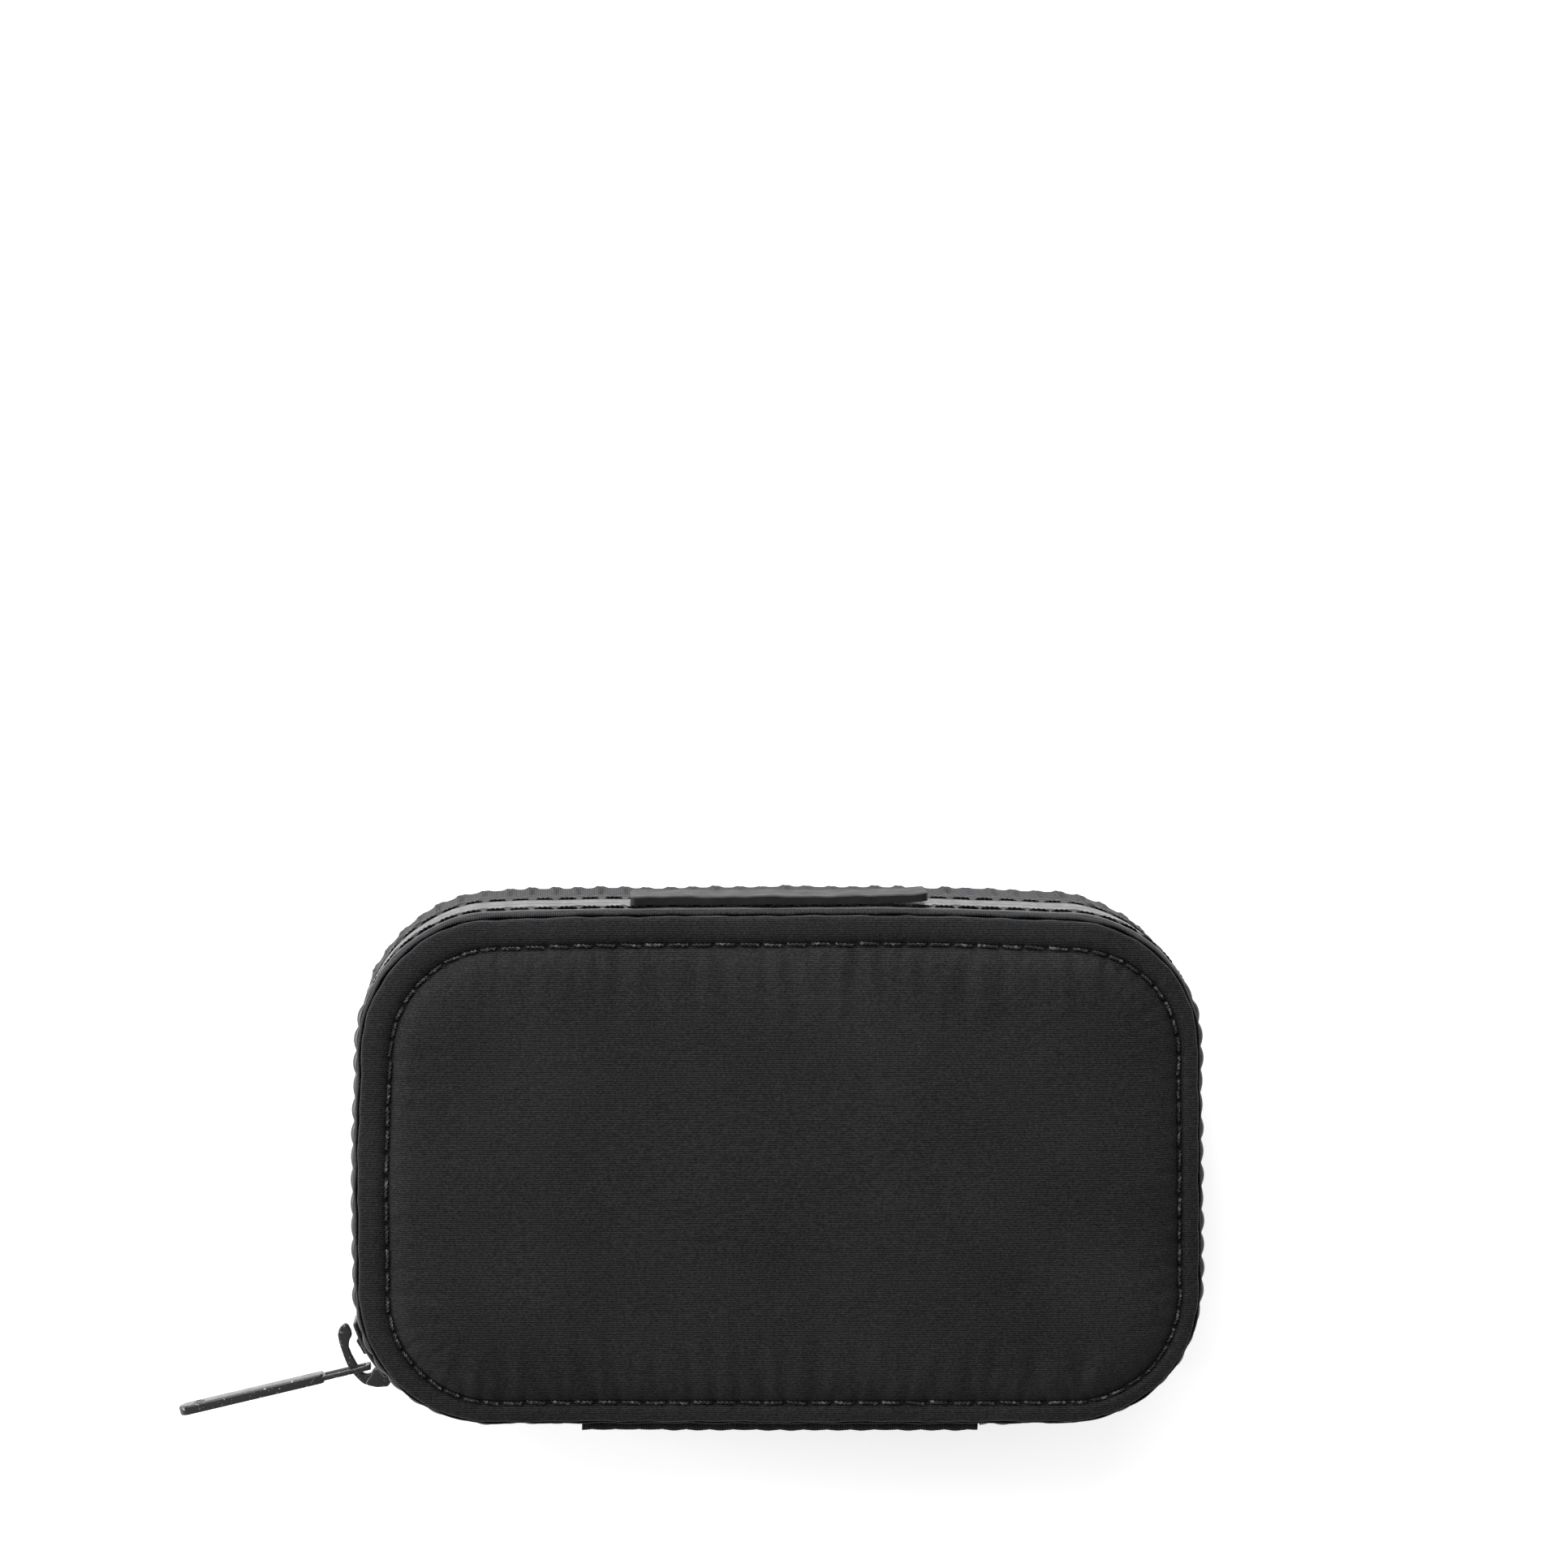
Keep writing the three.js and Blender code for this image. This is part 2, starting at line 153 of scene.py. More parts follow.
def edge_at(run):
    """Points on the panel edge and their outward directions, a run of millimetres from the hinge's
    middle. The run goes anticlockwise seen from above."""
    quarter = 0.5 * math.pi * CORNER
    short_end = [quarter, 2 * STRAIGHT[1], quarter]
    sides = [STRAIGHT[0], *short_end, 2 * STRAIGHT[0], *short_end, STRAIGHT[0]]
    starts = np.concatenate([[0], np.cumsum(sides)])
    run = np.mod(run, PERIMETER)
    piece = np.clip(np.searchsorted(starts, run, side="right") - 1, 0, 8)
    along = run - starts[piece]
    cx, cy = STRAIGHT
    hx, hy = PANEL_HALF
    corners = {1: (-cx, cy), 3: (-cx, -cy), 5: (cx, -cy), 7: (cx, cy)}
    lines = {0: ((0, hy), (-1, 0)), 2: ((-hx, cy), (0, -1)), 4: ((-cx, -hy), (1, 0))}
    lines.update({6: ((hx, -cy), (0, 1)), 8: ((cx, hy), (-1, 0))})
    points = np.zeros((len(run), 2))
    out = np.zeros((len(run), 2))
    for index, centre in corners.items():
        here = piece == index
        angle = math.pi / 2 * ((index + 1) / 2) + along[here] / CORNER
        out[here] = np.stack([np.cos(angle), np.sin(angle)], 1)
        points[here] = np.array(centre) + CORNER * out[here]
    for index, (begin, direction) in lines.items():
        here = piece == index
        points[here] = np.array(begin) + along[here, None] * np.array(direction)
        out[here] = (direction[1], -direction[0])
    keys = np.array(SLACK)
    nearby = run[:, None] + np.linspace(-SLACK_REACH, SLACK_REACH, 9)
    slack = np.interp(np.mod(nearby, PERIMETER), keys[:, 0], keys[:, 1]).mean(1)
    return points + slack[:, None] * out, out


def loop_shell(name, profile, material, body, steps=1040, span=None, wobble=None):
    """A closed profile of [out, height] carried round the panel edge, or along part of it."""
    closed = span is None
    begin, end = span or (0, PERIMETER)
    run = np.linspace(begin, end, steps, endpoint=not closed)
    edge, out = edge_at(run)
    profile = np.asarray(profile, float)
    reach = np.broadcast_to(profile[:, 0], (steps, len(profile))).copy()
    height = np.broadcast_to(profile[:, 1], (steps, len(profile))).copy()
    if wobble:
        extra_out, extra_height = wobble(run[:, None], reach, height)
        reach += extra_out
        height += extra_height
    points = np.zeros((steps, len(profile), 3))
    points[..., :2] = edge[:, None] + out[:, None] * reach[..., None]
    points[..., 2] = height
    faces = grid_faces(steps, len(profile), closed, True)
    if not closed:
        faces.append(list(range(len(profile))))
        last = (steps - 1) * len(profile)
        faces.append(list(range(last + len(profile) - 1, last - 1, -1)))
    piece = mesh_piece(name, points.reshape(-1, 3), faces, material, body)
    across = np.concatenate([[0], np.cumsum(np.linalg.norm(np.diff(profile, axis=0), axis=1))])
    runs = np.stack(np.broadcast_arrays(run[:, None], across[None, :]), -1).reshape(-1, 2)
    set_run(piece, runs)
    turn_outwards(piece)
    return piece


def loop_disc(name, profile, material, body, steps=780, wobble=None):
    """A profile of [out, height, share] from the centre above to the centre below, carried round the
    panel edge. The share scales a point towards the centre."""
    run = np.linspace(0, PERIMETER, steps, endpoint=False)
    edge, out = edge_at(run)
    profile = np.asarray(profile, float)
    inner = profile[1:-1]
    reach, height, share = (np.broadcast_to(inner[:, i], (steps, len(inner))).copy() for i in range(3))
    points = np.zeros((steps, len(inner), 3))
    points[..., :2] = (edge[:, None] + out[:, None] * reach[..., None]) * share[..., None]
    points[..., 2] = height
    if wobble:
        points += wobble(run[:, None], reach, share, points, out[:, None])
    centres = np.array([points[:, 0].mean(0), points[:, -1].mean(0)])
    points = points.reshape(-1, 3)
    faces = grid_faces(steps, len(inner), True, False)
    top, under = len(points), len(points) + 1
    for i in range(steps):
        following = (i + 1) % steps
        faces.append([top, i * len(inner), following * len(inner)])
        faces.append([under, following * len(inner) + len(inner) - 1, i * len(inner) + len(inner) - 1])
    piece = mesh_piece(name, np.vstack([points, centres]), faces, material, body)
    turn_outwards(piece)
    return piece


# ---------------------------------------------------------------- materials

class Graph:
    """A Principled material and short ways to add nodes to it."""

    def __init__(self, name, **values):
        self.material = bpy.data.materials.new(name)
        self.material.use_nodes = True
        self.tree = self.material.node_tree
        self.shader = self.tree.nodes["Principled BSDF"]
        for key, value in values.items():
            self.shader.inputs[key.replace("_", " ")].default_value = value

    def add(self, kind, settings=None, **inputs):
        node = self.tree.nodes.new(kind)
        for key, value in (settings or {}).items():
            setattr(node, key, value)
        for key, value in inputs.items():
            self.feed(node.inputs[key.replace("_", " ")], value)
        return node

    def feed(self, socket, value):
        if isinstance(value, bpy.types.NodeSocket):
            self.tree.links.new(value, socket)
        else:
            socket.default_value = value

    def math(self, operation, *values):
        node = self.tree.nodes.new("ShaderNodeMath")
        node.operation = operation
        for socket, value in zip(node.inputs, values):
            self.feed(socket, value)
        return node.outputs[0]

    def place(self):
        return self.add("ShaderNodeTexCoord").outputs["Object"]

    def noise(self, vector, scale, detail=3.0, roughness=0.5):
        node = self.add("ShaderNodeTexNoise", Vector=vector, Scale=scale, Detail=detail, Roughness=roughness)
        return node.outputs["Fac"]

    def stretched(self, vector, scale):
        node = self.add("ShaderNodeVectorMath", {"operation": "MULTIPLY"})
        self.feed(node.inputs[0], vector)
        node.inputs[1].default_value = scale
        return node.outputs[0]

    def remap(self, value, low, high, to_low=0.0, to_high=1.0):
        node = self.add("ShaderNodeMapRange", Value=value)
        for key, number in (("From Min", low), ("From Max", high), ("To Min", to_low), ("To Max", to_high)):
            node.inputs[key].default_value = number
        return node.outputs[0]

    def blend(self, factor, first, second):
        node = self.add("ShaderNodeMix", {"data_type": "RGBA"})
        self.feed(node.inputs["Factor"], factor)
        node.inputs[6].default_value = (*first, 1)
        node.inputs[7].default_value = (*second, 1)
        return node.outputs[2]

    def ridges(self, coordinate, pitch):
        """Even waves from 0 to 1 with that pitch, in the coordinate's unit."""
        wave = self.math("SINE", self.math("MULTIPLY", coordinate, 2 * math.pi / pitch))
        return self.remap(wave, -1.0, 1.0)

    def bump(self, height, distance, strength=1.0, normal=None):
        node = self.add("ShaderNodeBump", Height=height, Strength=strength, Distance=distance)
        if normal is not None:
            self.feed(node.inputs["Normal"], normal)
        return node.outputs[0]

    def finish(self, **links):
        for key, value in links.items():
            self.feed(self.shader.inputs[key.replace("_", " ")], value)
        return self.material


def split(graph, vector):
    return graph.add("ShaderNodeSeparateXYZ", Vector=vector).outputs


def ribbed_cloth(name, along_cloth, gloss):
    """Black faille-like weave: even fine ribs with a smaller cross weave and a soft, uneven sheen, partly
    painted into the colour as shade in the rib valleys and as fine glints.

    Ribs follow the long side on a panel, and run across the cloth on a gusset or strip."""
    graph = Graph(name, Roughness=0.62, Sheen_Weight=0.05, Sheen_Roughness=0.45,
                  Specular_IOR_Level=gloss, Sheen_Tint=(0.8, 0.85, 1.0, 1))
    place = graph.place()
    if along_cloth:
        run = graph.add("ShaderNodeAttribute", {"attribute_name": "run"}).outputs["Vector"]
        rib_at, cross_at = (graph.math("MULTIPLY", out, MM) for out in split(graph, run)[:2])
        rib_pitch = 0.00036
    else:
        x, y, _ = split(graph, place)
        rib_at, cross_at = y, x
        rib_pitch = 0.00030
    wander = graph.remap(graph.noise(place, 260.0, 2.0), 0, 1, -0.00005, 0.00005)
    rib = graph.ridges(graph.math("ADD", rib_at, wander), rib_pitch)
    cross = graph.ridges(cross_at, 0.00021)
    fibre = graph.noise(graph.stretched(place, (0.6, 1, 1)), 3600.0, 2.0)
    patches = graph.noise(place, 45.0, 3.0)
    weave = graph.math("ADD", graph.math("MULTIPLY", rib, 0.75), graph.math("MULTIPLY", cross, 0.15))
    weave = graph.math("ADD", weave, graph.math("MULTIPLY", fibre, 0.4))
    # The ribs' share of the tone is painted shade: rib valleys darker and crests lighter, as the ribs would
    # be shaded.
    tone = graph.math("ADD", graph.math("MULTIPLY", rib, 0.5), graph.remap(fibre, 0.3, 0.7, 0.0, 0.5))
    tone = graph.math("ADD", tone, graph.remap(patches, 0.3, 0.7, -0.08, 0.08))
    # Painted glints: fine specks painted lighter into the colour, standing in for sheen on single fibres.
    painted_glints = graph.remap(graph.noise(place, 5200.0, 1.0), 0.62, 0.72, 0.0, 0.6)
    tone = graph.math("ADD", tone, painted_glints)
    colour = graph.blend(graph.remap(tone, 0.2, 1.0), (0.0003, 0.0003, 0.0003), (0.0230, 0.0230, 0.0238))
    rough = graph.remap(graph.math("ADD", rib, fibre), 0.0, 2.0, 0.74, 0.52)
    return graph.finish(Base_Color=colour, Roughness=rough, Normal=graph.bump(weave, 0.00009, 0.8))


def coated_tape(name):
    """Smooth polyurethane film on the zip tape: glossy, with faint waviness and scuffs."""
    graph = Graph(name, IOR=1.5, Specular_IOR_Level=0.36)
    place = graph.place()
    waves = graph.noise(place, 150.0, 2.0)
    grain = graph.noise(place, 5200.0, 2.0)
    scuffs = graph.noise(graph.stretched(place, (1, 1, 0.4)), 700.0, 4.0, 0.65)
    colour = graph.blend(graph.remap(scuffs, 0.45, 0.75), (0.011, 0.011, 0.012), (0.030, 0.030, 0.032))
    rough = graph.remap(scuffs, 0.3, 0.8, 0.28, 0.46)
    film = graph.bump(waves, 0.00012, 0.5)
    return graph.finish(Base_Color=colour, Roughness=rough, Normal=graph.bump(grain, 0.000006, 0.5, film))


def thread_material(name, glint, gloss):
    """Black polyester thread with painted glints: noise paints its brightest bits up to the share `glint`."""
    graph = Graph(name, Roughness=0.4, Specular_IOR_Level=gloss)
    place = graph.place()
    strands = graph.noise(place, 6000.0, 2.0)
    bits = graph.noise(place, 1300.0, 3.0)
    # Painted glints: lighter bits on the twisted fibres stand in for highlights.
    painted_glint_bits = graph.remap(bits, 0.52, 0.66, 0.0, 0.8)
    light = graph.math("ADD", painted_glint_bits, graph.remap(strands, 0.35, 0.7, 0.0, 0.2))
    colour = graph.blend(light, (0.0010, 0.0010, 0.0010), (glint, glint, glint * 1.04))
    rough = graph.remap(strands, 0.3, 0.7, 0.32, 0.52)
    return graph.finish(Base_Color=colour, Roughness=rough, Normal=graph.bump(strands, 0.00003, 0.6))


def coil_nylon():
    graph = Graph("zip_coil_nylon", Roughness=0.38)
    drawn = graph.noise(graph.place(), 3000.0, 2.0)
    colour = graph.blend(graph.remap(drawn, 0.35, 0.7), (0.006, 0.006, 0.0065), (0.018, 0.018, 0.019))
    return graph.finish(Base_Color=colour, Normal=graph.bump(drawn, 0.00001, 0.5))


def painted_metal():
    """Black enamel on a zinc casting: satin, with orange peel and small bare flecks scattered over it."""
    graph = Graph("black_enamel", Metallic=0.0, Coat_Weight=0.25, Coat_Roughness=0.3)
    place = graph.place()
    peel = graph.noise(place, 2400.0, 2.0)
    cast = graph.noise(place, 700.0, 3.0)
    flecks = graph.noise(place, 1700.0, 5.0, 0.7)
    worn = graph.remap(flecks, 0.61, 0.66)
    colour = graph.blend(worn, (0.012, 0.012, 0.0125), (0.42, 0.42, 0.43))
    rough = graph.remap(cast, 0.3, 0.7, 0.26, 0.42)
    paint = graph.bump(peel, 0.00002, 0.5)
    bumped = graph.bump(graph.math("SUBTRACT", cast, worn), 0.00004, 0.5, paint)
    return graph.finish(Base_Color=colour, Roughness=rough, Metallic=graph.remap(worn, 0, 1, 0.25, 0.9),
                        Normal=bumped)


def label_rubber():
    graph = Graph("label_rubber_grain", Roughness=0.5, IOR=1.5, Specular_IOR_Level=0.22)
    place = graph.place()
    pebbles = graph.add("ShaderNodeTexVoronoi", Vector=place, Scale=2600.0).outputs["Distance"]
    cloud = graph.noise(place, 300.0, 3.0)
    colour = graph.blend(graph.remap(cloud, 0.35, 0.7), (0.004, 0.004, 0.0042), (0.009, 0.009, 0.0093))
    rough = graph.remap(cloud, 0.3, 0.7, 0.46, 0.62)
    return graph.finish(Base_Color=colour, Roughness=rough, Normal=graph.bump(pebbles, 0.00003, 0.5))


def velvet(name, dark, light):
    """Short brushed pile: a matt ground with a pale rim sheen and brushed patches."""
    graph = Graph(name, Roughness=0.95, Sheen_Weight=0.7, Sheen_Roughness=0.4, Specular_IOR_Level=0.15)
    place = graph.place()
    pile = graph.noise(place, 4200.0, 3.0)
    brushed = graph.noise(graph.stretched(place, (1, 0.5, 1)), 60.0, 4.0, 0.6)
    tone = graph.math("ADD", graph.math("MULTIPLY", pile, 0.4), graph.math("MULTIPLY", brushed, 0.6))
    colour = graph.blend(graph.remap(tone, 0.35, 0.65), dark, light)
    return graph.finish(Base_Color=colour, Normal=graph.bump(pile, 0.00012, 0.8))


def snap_metal():
    graph = Graph("snap_gunmetal", Metallic=1.0)
    place = graph.place()
    brushed = graph.noise(graph.stretched(place, (1, 1, 8)), 1400.0, 3.0)
    colour = graph.blend(brushed, (0.20, 0.20, 0.21), (0.42, 0.42, 0.43))
    rough = graph.remap(brushed, 0.3, 0.7, 0.22, 0.42)
    return graph.finish(Base_Color=colour, Roughness=rough, Normal=graph.bump(brushed, 0.000008, 0.5))


def foam_material():
    graph = Graph("open_cell_foam", Roughness=0.95)
    cells = graph.add("ShaderNodeTexVoronoi", Vector=graph.place(), Scale=1500.0).outputs["Distance"]
    colour = graph.blend(graph.remap(cells, 0.1, 0.6), (0.06, 0.06, 0.065), (0.19, 0.19, 0.2))
    return graph.finish(Base_Color=colour, Normal=graph.bump(cells, 0.0003, 0.7))


def board_material():
    graph = Graph("grey_board", Roughness=0.85)
    fibres = graph.noise(graph.stretched(graph.place(), (1, 4, 4)), 500.0, 4.0)
    colour = graph.blend(graph.remap(fibres, 0.3, 0.7), (0.19, 0.15, 0.10), (0.34, 0.28, 0.20))
    return graph.finish(Base_Color=colour, Normal=graph.bump(fibres, 0.00005, 0.5))


PANEL_CLOTH = ribbed_cloth("ribbed_panel_cloth", False, 0.12)
GUSSET_CLOTH = ribbed_cloth("ribbed_gusset_cloth", True, 0.16)
HINGE_CLOTH = ribbed_cloth("ribbed_hinge_cloth", True, 0.03)
TAPE = coated_tape("coated_zip_tape")
# One black thread in two copies: the panel's stitches get strong painted glints, and the tape rows' stitches
# get almost none, as a darker copy for thread that sits in shade.
THREAD = thread_material("panel_thread", 0.11, 0.22)
ROW_THREAD = thread_material("tape_thread", 0.010, 0.03)
COIL = coil_nylon()
ENAMEL = painted_metal()
LABEL = label_rubber()
VELVET = velvet("charcoal_velvet", (0.016, 0.016, 0.018), (0.040, 0.040, 0.044))
ROLL_VELVET = velvet("roll_velvet", (0.020, 0.020, 0.022), (0.052, 0.052, 0.057))
SNAP = snap_metal()
FOAM = foam_material()
BOARD = board_material()


# ---------------------------------------------------------------- padded panels

def near(run, place, width):
    """How near a run is to a place, from 0 to 1, round the whole loop."""
    apart = np.mod(run - place + PERIMETER / 2, PERIMETER) - PERIMETER / 2
    return np.exp(-((apart / width) ** 2))


def run_of(x, y):
    """The run of the nearest point of the panel edge to a point on a long side."""
    return np.mod(-x, PERIMETER) if y > 0 else PERIMETER / 2 + x


def pucker_list():
    """Places, widths, reaches and heights of the cloth's puckers inside the top stitch."""
    found = []
    for k in range(STITCHES):
        found.append(((k + 0.5) * PITCH, 1.15, rng.uniform(2.2, 4.2), rng.uniform(0.07, 0.15)))
        found.append((k * PITCH, 0.55, rng.uniform(1.6, 3.2), -rng.uniform(0.10, 0.20)))
    for _ in range(46):
        place = run_of(rng.uniform(-47, 30), -1)
        found.append((place, rng.uniform(0.9, 2.4), rng.uniform(6, 14), rng.uniform(-0.13, 0.13)))
    for _ in range(40):
        place = run_of(rng.uniform(-50, 50), 1)
        found.append((place, rng.uniform(0.9, 2.2), rng.uniform(4, 9), rng.uniform(-0.09, 0.09)))
    for _ in range(50):
        place = rng.uniform(0, PERIMETER)
        found.append((place, rng.uniform(1.0, 3.0), rng.uniform(4, 9), rng.uniform(-0.05, 0.05)))
    return found


def field_depth(x, y):
    """How far a point lies inside the lid's top stitch."""
    half = PANEL_HALF - TOP_STITCH_INSET
    radius = CORNER - TOP_STITCH_INSET
    qx, qy = np.abs(x) - (half[0] - radius), np.abs(y) - (half[1] - radius)
    corner = np.hypot(np.maximum(qx, 0), np.maximum(qy, 0))
    return radius - corner - np.minimum(np.maximum(qx, qy), 0)


def puffed_field(step=0.8, unit=0.02, frames=14):
    """Cloth simulation of the lid's field: a sheet held at its stitches, a little too large near them,
    that air lifts off the foam. Gives the grid and the height it rises to, in millimetres.
    The simulation works at a scale of `unit` for a millimetre."""
    half = PANEL_HALF - TOP_STITCH_INSET
    columns, rows = (int(2 * h / step) + 1 for h in half)
    x, y = np.meshgrid(np.linspace(-half[0], half[0], columns), np.linspace(-half[1], half[1], rows),
                       indexing="ij")
    depth = field_depth(x, y)
    start = np.stack([x, y, np.random.default_rng(3).normal(0, 0.02, x.shape) * (depth > 0.5)], -1)
    start = start.reshape(-1, 3) * unit
    faces = np.array(grid_faces(columns, rows))
    faces = faces[(depth.ravel()[faces] > -1.2).any(1)]
    mesh = bpy.data.meshes.new("field_cloth")
    mesh.from_pydata(start.tolist(), [], faces.tolist())
    cloth = bpy.data.objects.new("field_cloth", mesh)
    bpy.context.scene.collection.objects.link(cloth)
    held = cloth.vertex_groups.new(name="held")
    held.add(np.flatnonzero(depth.ravel() <= 0.15).tolist(), 1.0, "ADD")
    fitted = cloth.vertex_groups.new(name="fitted")
    along_side = np.clip((np.abs(y) - 10) / 18, 0, 1)
    middle = np.exp(-(((x + 14) / 30) ** 2))
    fullness = np.where(y < 0, 0.35 + 0.65 * middle, 0.45)
    extra = np.exp(-np.clip(depth, 0, None) / 4) * (0.12 + 0.88 * along_side * fullness)
    for index, weight in enumerate((1 - extra).ravel().tolist()):
        fitted.add([index], weight, "ADD")
    modifier = cloth.modifiers.new("cloth", "CLOTH")
    settings = modifier.settings
    chosen = dict(quality=6, mass=0.1, air_damping=5, tension_stiffness=60, compression_stiffness=60,
                  shear_stiffness=30, bending_stiffness=0.1, use_pressure=True,
                  uniform_pressure_force=2.0, vertex_group_mass="held", vertex_group_shrink="fitted",
                  shrink_min=-0.05, shrink_max=0.0)
    for key, value in chosen.items():
        setattr(settings, key, value)
    settings.effector_weights.gravity = 0
    modifier.collision_settings.use_collision = False
    modifier.point_cache.frame_start = 1
    modifier.point_cache.frame_end = frames
    scene = bpy.context.scene
    for number in range(1, frames + 1):
        scene.frame_set(number)
    evaluated = cloth.evaluated_get(bpy.context.evaluated_depsgraph_get())
    settled = np.zeros(len(mesh.vertices) * 3, np.float32)
    evaluated.data.vertices.foreach_get("co", settled)
    rise = ((settled.reshape(-1, 3) - start)[:, 2] / unit).reshape(columns, rows)
    scene.frame_set(1)
    bpy.data.objects.remove(cloth)
    bpy.data.meshes.remove(mesh)
    return x, y, np.where(depth > 0, rise, 0)


def blurred(values, reach):
    """Running mean over a square of 2 * reach + 1 cells."""
    for axis in (0, 1):
        pad = [(reach + 1, reach) if a == axis else (0, 0) for a in (0, 1)]
        total = np.cumsum(np.pad(values, pad, mode="edge"), axis=axis)
        size = values.shape[axis]
        high = np.take(total, np.arange(size) + 2 * reach + 1, axis=axis)
        low = np.take(total, np.arange(size), axis=axis)
        values = (high - low) / (2 * reach + 1)
    return values


def field_relief():
    """A function of x and y: how far the lid's cloth rises above its plain foam shape."""
    grid_x, grid_y, rise = puffed_field()
    dome = blurred(blurred(rise, 4), 4)
    relief = np.clip(0.4 * dome + 1.0 * (rise - dome), -0.4, 1.3)

    def look_up(x, y):
        u = np.interp(x, grid_x[:, 0], np.arange(len(grid_x)))
        v = np.interp(y, grid_y[0], np.arange(grid_y.shape[1]))
        i = np.minimum(u.astype(int), len(grid_x) - 2)
        j = np.minimum(v.astype(int), grid_y.shape[1] - 2)
        u, v = u - i, v - j
        near_side = relief[i, j] * (1 - v) + relief[i, j + 1] * v
        far_side = relief[i + 1, j] * (1 - v) + relief[i + 1, j + 1] * v
        return near_side * (1 - u) + far_side * u

    return look_up


def lid_profile():
    """The lid panel's section at its edge: field, groove, rim, turned edge and underside."""
    section = [[-12, 41.3], [-9, 41.22], [-6.6, 40.98], [-5.0, 40.5], [-4.1, 39.9], [-3.6, 39.3],
               [-3.2, 39.3], [-2.7, 39.8], [-1.9, 40.05], [-0.8, 40.0], [0.1, 39.85], [0.38, 39.5],
               [0.38, 38.6], [0.2, 38.2], [-0.8, 38.1], [-3.0, 38.1]]
    return smoothed(section, 3)


def lid_panel():
    edge = lid_profile()
    field = np.linspace(0.0125, 1, 84)[:-1]
    top = [[-12, 41.3, share] for share in field]
    rim = [[out, height, 1] for out, height in edge]
    under = [[-3, 38.1, share] for share in (0.8, 0.5, 0.2)]
    profile = [[-12, 41.3, 0], *top, *rim, *under, [-3, 38.1, 0]]
    last_top = 1 + len(top) + int(np.argmax(edge[:, 0] > -0.15))
    seeds = pucker_list()
    relief = field_relief()

    def shape(run, reach, share, points, out):
        moved = np.zeros_like(points)
        x, y = points[..., 0], points[..., 1]
        inside = -reach - TOP_STITCH_INSET + (1 - share) * 26
        rise = np.clip(inside / 3, 0, 1)
        lift = relief(x, y) * rise * rise * (3 - 2 * rise)
        on_field = np.clip(inside / 0.9, 0, 1)
        for place, width, length, height in seeds:
            lift = lift + height * near(run, place, width * (1 + 0.03 * inside)) * on_field * \
                np.exp(-((np.clip(inside, 0, None) / length) ** 2))
        rim_wave = np.clip(1 - np.abs(inside + 1.6) / 1.6, 0, 1)
        lift = lift + 0.05 * np.cos(2 * math.pi * (run / PITCH - 0.5)) * rim_wave
        holes = np.exp(-((inside / 0.55) ** 2)) * np.exp(-(((np.mod(run / PITCH + 0.5, 1) - 0.5) * 9) ** 2))
        lift = lift - 0.35 * holes
        top_only = np.arange(points.shape[1]) < last_top
        moved[..., 2] = np.where(top_only, lift, 0)
        with_field = np.clip((-reach - 0.6) / 2.4, 0, 1)
        shifted = with_field * (share == 1) + (share < 1)
        moved[..., :2] += FIELD_SHIFT * shifted[..., None] * top_only[:, None]
        ripple = 0.05 * np.sin(run * 0.31) + 0.06 * np.sin(run * 0.83 + 1) + 0.03 * np.sin(run * 1.7)
        at_edge = np.exp(-((reach / 1.2) ** 2)) * (share == 1)
        moved[..., :2] += out * (ripple * at_edge)[..., None]
        return moved

    piece = loop_disc("lid_panel", profile, PANEL_CLOTH, "lid", 832, shape)
    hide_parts("lid_cover")
    return piece


def base_panel():
    section = [[-3, 1.25], [-0.8, 1.25], [0, 1.15], [0.15, 0.75], [-0.15, 0.3], [-0.9, 0.08], [-2.2, 0.1],
               [-2.9, 0.35], [-3.2, 0.75], [-3.6, 0.75], [-4.1, 0.3], [-5.2, 0.06], [-7, 0.0], [-10, 0.0]]
    edge = smoothed(section, 2)
    rim = [[out, height, 1] for out, height in edge]
    over = [[-3, 1.25, share] for share in (0.2, 0.5, 0.8)]
    under = [[-10, 0.0, share] for share in (0.75, 0.5, 0.25)]
    profile = [[-3, 1.25, 0], *over, *rim, *under, [-10, 0.0, 0]]

    def shape(run, reach, share, points, out):
        moved = np.zeros_like(points)
        inside = -reach - TOP_STITCH_INSET
        holes = np.exp(-((inside / 0.55) ** 2)) * np.exp(-(((np.mod(run / PITCH + 0.5, 1) - 0.5) * 9) ** 2))
        moved[..., 2] = 0.3 * holes * (share == 1) * (points[..., 2] < 1)
        return moved

    piece = loop_disc("base_panel", profile, PANEL_CLOTH, "base", 624, shape)
    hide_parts("base_cover")
    return piece


# ---------------------------------------------------------------- side walls

def per_stitch(run, low, high, seed):
    """A random amount for each stitch, looked up by run."""
    amounts = np.random.default_rng(seed).uniform(low, high, STITCHES)
    return amounts[np.floor(np.mod(run, PERIMETER) / PITCH).astype(int) % STITCHES]


def swell(run, phase=0.0):
    """The cloth's bulge between needle holes: 0 at each hole and 1 half way between."""
    return np.abs(np.sin(math.pi * (run / PITCH + phase))) ** 0.8


def on_front(run):
    """1 along the opening side, 0 along the short sides and the hinge side."""
    _, out = edge_at(np.asarray(run, float).ravel())
    return np.clip((-out[:, 1] - 0.3) / 0.5, 0, 1).reshape(np.shape(run))


